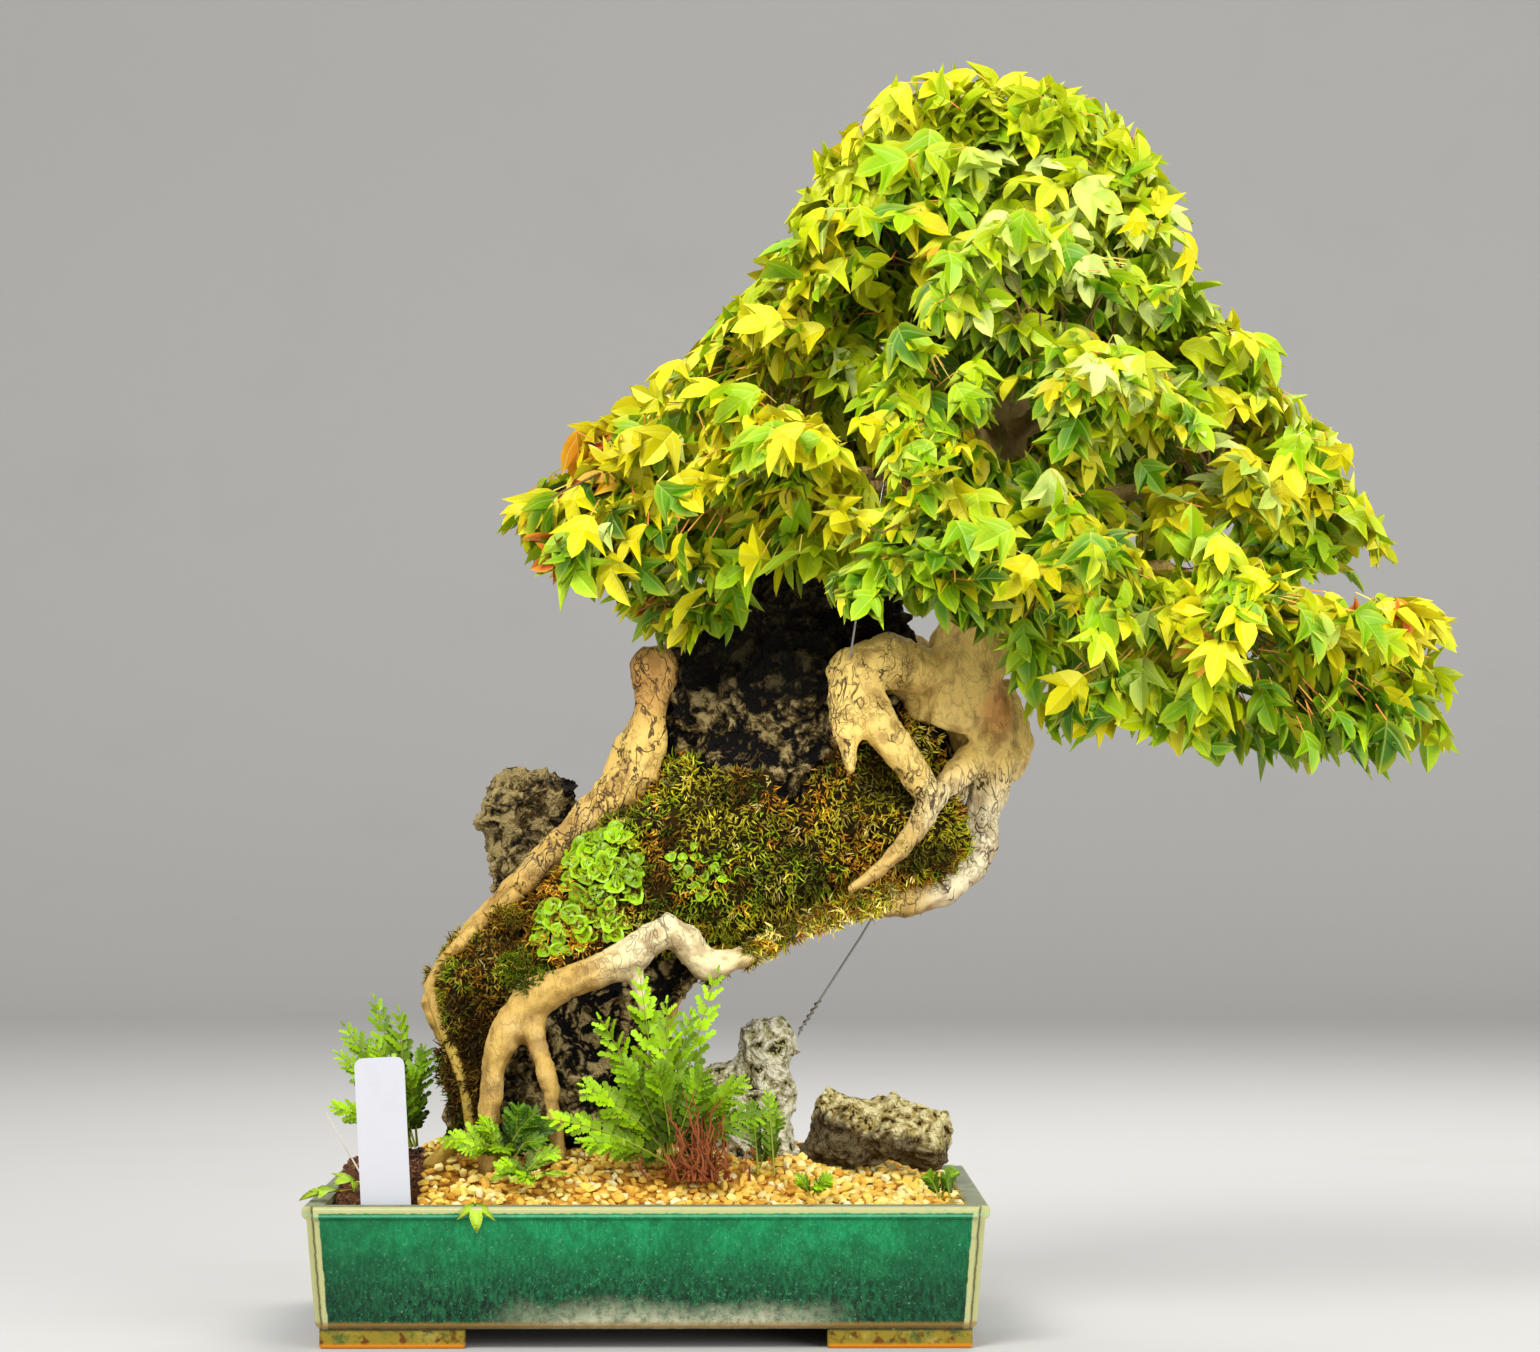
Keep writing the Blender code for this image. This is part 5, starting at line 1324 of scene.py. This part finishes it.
def frondCopies(route, wide, face, draw, tint):
    # leaflets in pairs along a frond's rib
    copies = []
    spine = [Vector(row[:3]) for row in route]
    for pair in range(fern["pairs"] + 1):
        t = 0.16 + 0.84 * pair / fern["pairs"]
        step = min(len(spine) - 2, int(t * (len(spine) - 1)))
        along = (spine[step + 1] - spine[step]).normalized()
        place = spine[step].lerp(spine[step + 1], t * (len(spine) - 1) - step)
        side = along.cross(face).normalized()
        length = wide * mm * (0.30 + 0.75 * math.sin(math.pi * min(1, 0.15 + t * 0.85)) ** 0.7)
        for hand in (-1, 1):
            aim = along
            if pair < fern["pairs"]:
                aim = side * hand + along * 1.5 + Vector(draw.normal(0, 0.16, 3))
            # painted shade: leaflets darker towards the frond's foot, with a random tone too
            shade = np.array(tint) * draw.uniform(0.5, 1.2) * np.interp(t, (0.15, 0.65), (0.25, 1.1))
            number = int(draw.integers(2))
            turn = turnTo(aim, face + Vector(draw.normal(0, 0.2, 3)))
            turn = turn @ (np.eye(3) * length * draw.uniform(0.85, 1.1))
            copies.append((number, place, turn, {"tint": shade}))
    return copies


def makeFrondClump(name, root, fronds, slotName, seed, *nodes):
    # fronds: x, y, z of the tip, width, how far it bows up, share of the light green
    draw = np.random.default_rng(seed)
    ribs, copies = [], []
    for x, y, z, wide, lift, light in fronds:
        start = root + Vector(draw.normal(0, fern["spread"], 3)) * mm
        start.z = root.z
        route = arc(start, spot(x, y, z), lift * mm, 8, 0.7, 0.22)
        ribs.append(route)
        tint = np.array(fern["light"]) * light + np.array(fern["dark"]) * (1 - light)
        face = Vector((draw.normal(0, 0.25), -0.85, 0.55))
        copies += frondCopies(route, wide, face, draw, tint)
    leaves = scattered(name, pinnaModels, copies, 32)
    stems = strands(name + "_ribs", ribs, 0)
    mark(stems, "tint", np.tile(np.array(fern["rib"]), (len(stems.data.vertices), 1)))
    return handOver(joined(name, [leaves, stems]), fernMaterial, slotName, *nodes)


pinnaModels = [pinnaModel(0.12), pinnaModel(0.3)]
fernMaterial = tintMaterial("fernGreen", 0.5, paint(70, 124, 8), 260.0, 0.4, 0.15, 0.25)
frontFronds = [
    (36, -80, 190, 13, 4, 1.0), (-4, -84, 188, 15, 3, 0.9), (10, -90, 174, 14, 5, 1.0),
    (22, -86, 168, 14, 4, 0.6), (-24, -92, 166, 14, 5, 0.9), (-12, -98, 144, 14, 5, 0.6),
    (-32, -100, 132, 14, 6, 0.9), (-50, -104, 116, 13, 4, 1.0), (4, -104, 142, 14, 8, 0.7),
    (30, -98, 138, 14, 6, 0.5), (50, -92, 134, 13, 6, 0.8), (60, -92, 116, 12, 6, 0.5),
    (-34, -106, 104, 12, 4, 0.7)]
makeFrondClump("front_fern_fronds", spot(12, -74, 90), frontFronds, "fern", 41, "front_fern")
leftFronds = [
    (-147, -6, 172, 13, 4, 0.6), (-134, -10, 166, 12, 4, 0.7), (-163, -8, 158, 12, 5, 0.7),
    (-120, -16, 146, 12, 6, 0.5), (-168, -24, 116, 11, 4, 0.9), (-155, -18, 134, 12, 6, 0.6),
    (-128, -24, 134, 12, 6, 0.5), (-146, -20, 150, 12, 5, 0.8), (-138, -28, 122, 12, 6, 0.4),
    (-166, -16, 144, 11, 5, 0.8)]
makeFrondClump("left_fern_fronds", spot(-128, -8, 94), leftFronds, "fern", 42, "left_fern")

# each weed's root and its fronds
weeds = {
    "weed_left": (spot(-72, -70, 92), [
        (-106, -82, 103, 10, 5, 1.0), (-94, -86, 98, 9, 5, 0.9), (-86, -78, 112, 9, 3, 0.8),
        (-58, -80, 117, 10, 3, 0.2), (-48, -76, 110, 9, 4, 0.2), (-67, -80, 120, 10, 3, 0.2),
        (-76, -86, 98, 9, 3, 0.7), (-54, -84, 102, 9, 4, 0.3)]),
    "weed_middle": (spot(-60, -92, 84), [
        (-76, -100, 90, 8, 3, 1.0), (-46, -98, 98, 8, 3, 0.9), (-62, -104, 84, 7, 2, 1.0)]),
    "weed_right": (spot(86, -100, 76), [
        (78, -104, 84, 6, 2, 0.9), (94, -103, 84, 6, 2, 0.8), (88, -106, 80, 5, 2, 0.9)]),
    "weed_corner": (spot(150, -92, 74), [
        (144, -98, 86, 6, 2, 0.4), (154, -96, 84, 6, 2, 0.3), (158, -90, 88, 6, 2, 0.5)]),
    "weed_stone": (spot(60, -66, 84), [
        (54, -72, 122, 8, 3, 0.5), (68, -72, 116, 8, 3, 0.6), (62, -76, 128, 8, 3, 0.7)]),
}
for number, (name, (root, fronds)) in enumerate(weeds.items()):
    makeFrondClump(name, root, fronds, "fern", 50 + number)


deadStems = {"count": 84, "middle": (27, -84), "tall": (98, 130), "low": (83, 96)}


def makeDeadStems():
    draw = random.Random(61)
    routes = []
    for number in range(deadStems["count"]):
        x, y = deadStems["middle"][0] + draw.gauss(0, 8), deadStems["middle"][1] + draw.uniform(-12, 8)
        tall = number % 2
        height = "tall" if tall else "low"
        end = spot(x + draw.uniform(-12, 12), y + draw.uniform(-8, 8), draw.uniform(*deadStems[height]))
        lift = draw.uniform(0, 0.008)
        routes.append(arc(spot(x, y, 83), end, lift, 8, 0.8, 0.32, 0.0020 if tall else 0.0038, draw))
    skin = plainMaterial("dryStem", paint(134, 70, 26), paint(34, 14, 5), 190.0, 0.85)
    return handOver(strands("dead_stem_tuft", routes, 0), skin, "dry_stem", "dead_stems")


makeDeadStems()

# liverwort cups on the moss

# patches seen from the front: x, z, half sizes, cups
cups = {"gap": 4.4, "size": (7.0, 12.0), "tint": paint(156, 200, 18),
        "patches": [
            (-24, 240, 20, 27, 90), (-46, 210, 16, 13, 26), (24, 242, 16, 13, 12), (-24, 214, 14, 10, 14)]}


def cupModel(bend):
    deselectAll()
    bpy.ops.mesh.primitive_cone_add(vertices=10, radius1=0.16, radius2=0.5, depth=0.34, end_fill_type="NGON",
                                    location=(0, 0, 0.17))
    cup = settle(newest("cup"))
    bpy.ops.object.mode_set(mode="EDIT")
    bpy.ops.mesh.select_mode(type="FACE")
    bpy.ops.mesh.select_all(action="DESELECT")
    bpy.ops.object.mode_set(mode="OBJECT")
    for face in cup.data.polygons:
        face.select = face.normal.z > 0.9
    bpy.ops.object.mode_set(mode="EDIT")
    bpy.ops.mesh.inset(thickness=0.13, depth=0.05)
    bpy.ops.mesh.inset(thickness=0.14, depth=-0.20)
    bpy.ops.object.mode_set(mode="OBJECT")
    points = pointsOf(cup)
    angle = np.arctan2(points[:, 1], points[:, 0])
    rim = np.hypot(points[:, 0], points[:, 1]) > 0.3
    points[rim, :2] *= (1 + 0.13 * np.sin(3 * angle[rim] + bend))[:, None]
    points[rim, 2] += 0.10 * np.cos(2 * angle[rim] + bend)
    cup.data.vertices.foreach_set("co", points.ravel())
    return modelFrom(cup)


def makeLiverwort(bed):
    draw = np.random.default_rng(71)
    front = surfaceOf(bed)
    models, copies, places = [cupModel(0.0), cupModel(2.0), cupModel(4.0)], [], []
    for x, z, wide, tall, count in cups["patches"]:
        for number in range(count * 3):
            place, normal = frontOf(front, *within(draw, x, z, wide, tall))
            if place is not None and all((place - other).length > cups["gap"] * mm for other in places):
                places.append(place)
                size = draw.uniform(*cups["size"]) * mm * (0.7 if x > 0 else 1)
                aim = Vector(normal) + Vector((0, -0.5, 0.45)) + Vector(draw.normal(0, 0.25, 3))
                turn = standing(aim) @ spun(draw)
                tint = np.array(cups["tint"]) * draw.uniform(0.5, 1.1)
                model, narrow = draw.integers(3), draw.uniform(0.8, 1)
                copies.append((model, place - aim.normalized() * 0.0004,
                               turn @ np.diag([size, size * narrow, size * 0.8]), {"tint": tint}))
    skin = tintMaterial("liverwortGreen", 0.35, paint(96, 140, 8), 200.0, 0.4, 0.15, 0.35)
    return handOver(scattered("liverwort_cups", models, copies, 50), skin, "liverwort", "liverwort")


makeLiverwort(bpy.data.objects["moss_bed"])

# fallen leaves

# where each starts, which way it points and which way it faces
fallen = {
    "rim": (-87, -119, 74, (0.1, -0.9, -0.5), (0, -0.3, 0.9)),
    "gravel_one": (-56, -98, 86, (0.5, -0.6, 0.1), (0, -0.3, 1)),
    "gravel_two": (-64, -92, 88, (-0.7, -0.4, -0.1), (0.2, -0.4, 1)),
    "corner_one": (-150, -84, 82, (-0.5, -0.8, 0.1), (0.2, -0.5, 0.8)),
    "corner_two": (-146, -76, 88, (0.4, -0.4, 0.8), (-0.4, -0.8, 0.3)),
    "corner_three": (-158, -92, 78, (-0.9, -0.3, -0.1), (0, -0.2, 1)),
}


def makeFallen():
    draw = np.random.default_rng(81)
    copies = []
    for x, y, z, aim, face in fallen.values():
        foot = np.array(spot(x, y, z))
        stem = foot - np.array(Vector(aim).normalized()) * 10 * mm
        copies += leafCopy(foot, Vector(aim), Vector(face), draw.uniform(16, 22) * mm,
                           np.array(paint(168, 206, 52)), draw, leafTints["stalk"][2], stem)
    return handOver(scattered("fallen_leaves", leafModels, copies), leafSkin, "maple_leaf")


makeFallen()
print("small plants done")

# tag and wires

tagMaterial = plainMaterial("tagPlastic", paint(188, 188, 194), paint(182, 182, 188), 60.0, 0.5)
wireMaterial = plainMaterial("wireSteel", paint(150, 148, 142), paint(110, 106, 98), 300.0, 0.35, 0.9)
tag = mergedCopy("plant_tag", "blank_tag")
handOver(smoothed(tag, 30), tagMaterial, "white_tag", "plant_tag")
for nodeName in ("low_wire", "high_wire"):
    handOver(smoothed(mergedCopy(nodeName, nodeName + "_bright"), 60), wireMaterial, "wire", nodeName)


def makeOddments():
    stick = strands("label_stick", [arc(spot(-168, -62, 116), spot(-150, -60, 84), 0, 3, 0.55, 0.5)])
    skin = plainMaterial("paleStick", paint(206, 202, 186), paint(170, 164, 140), 120.0, 0.6)
    handOver(stick, skin, "white_tag")
    # the twisted end of the low wire
    coil, steps, turns, reach = [], 32, 5, 1.3
    for step in range(steps + 1):
        t = step / steps
        middle = spot(80, -15, 156).lerp(spot(90, -17.5, 172), t)
        turn = t * turns * 2 * math.pi
        coil.append((*(middle + Vector((math.cos(turn) * reach, math.sin(turn) * reach, 0)) * mm), 0.45))
    handOver(strands("wire_twist", [coil], 0), wireMaterial, "wire")


makeOddments()

# camera, light and floor

camera = bpy.data.objects.new("camera", bpy.data.cameras.new("camera"))
bpy.context.scene.collection.objects.link(camera)
camera.data.sensor_width = 36
camera.data.lens = view["focal"] / view["frame"] * camera.data.sensor_width
camera.location = Vector(view["from"]) + Vector((potMiddle.x, potMiddle.y, 0))
right, up = (math.atan(offset / view["focal"]) for offset in view["offset"])
camera.rotation_euler = (math.radians(90) + up, 0, -right)
bpy.context.scene.camera = camera
bpy.context.scene.view_settings.view_transform = "Standard"

# place, width, height, power
lights = {"key": ((-0.9, -1.7, 2.1), 1.2, 1.2, 62), "fill": ((3.0, -3.6, 1.15), 3.6, 2.0, 162),
          "back": ((0.5, 1.4, 1.9), 1.2, 1.2, 34)}
for name, (place, wide, tall, power) in lights.items():
    light = bpy.data.objects.new(name, bpy.data.lights.new(name, "AREA"))
    bpy.context.scene.collection.objects.link(light)
    light.data.shape = "RECTANGLE"
    light.data.size, light.data.size_y = wide, tall
    light.data.energy = power
    light.location = place
    light.rotation_euler = (Vector((0, 0, 0.3)) - Vector(place)).to_track_quat("-Z", "Y").to_euler()

world = bpy.data.worlds.new("studio")
world.use_nodes = True
sky = world.node_tree.nodes["Background"].inputs
sky["Color"].default_value = (0.62, 0.63, 0.64, 1)
sky["Strength"].default_value = 0.98
bpy.context.scene.world = world

# the floor curves up behind into a wall
sweep = {"near": -12.0, "far": 3.2, "bend": 1.4, "top": 5.0, "wide": 3.0, "size": 8, "steps": 20}
deselectAll()
bpy.ops.mesh.primitive_grid_add(x_subdivisions=1, y_subdivisions=sweep["steps"], size=sweep["size"])
floor = newest("studio_floor")
points = pointsOf(floor)
for number, (x, y, z) in enumerate(points):
    step = round((y / sweep["size"] + 0.5) * sweep["steps"])
    if step == 0:
        y, z = sweep["near"], 0
    elif step == sweep["steps"]:
        y, z = sweep["far"] + sweep["bend"], sweep["top"]
    else:
        turn = math.radians(90) * (step - 1) / (sweep["steps"] - 2)
        y, z = sweep["far"] + sweep["bend"] * math.sin(turn), sweep["bend"] * (1 - math.cos(turn))
    points[number] = (x * sweep["wide"], y, z)
floor.data.vertices.foreach_set("co", points.ravel())
smoothed(floor)
floor.data.materials.append(plainMaterial("paleFloor", paint(186, 184, 180), paint(182, 180, 175), 3.0, 0.8))
print("camera, light and floor done")

bpy.context.view_layer.update()
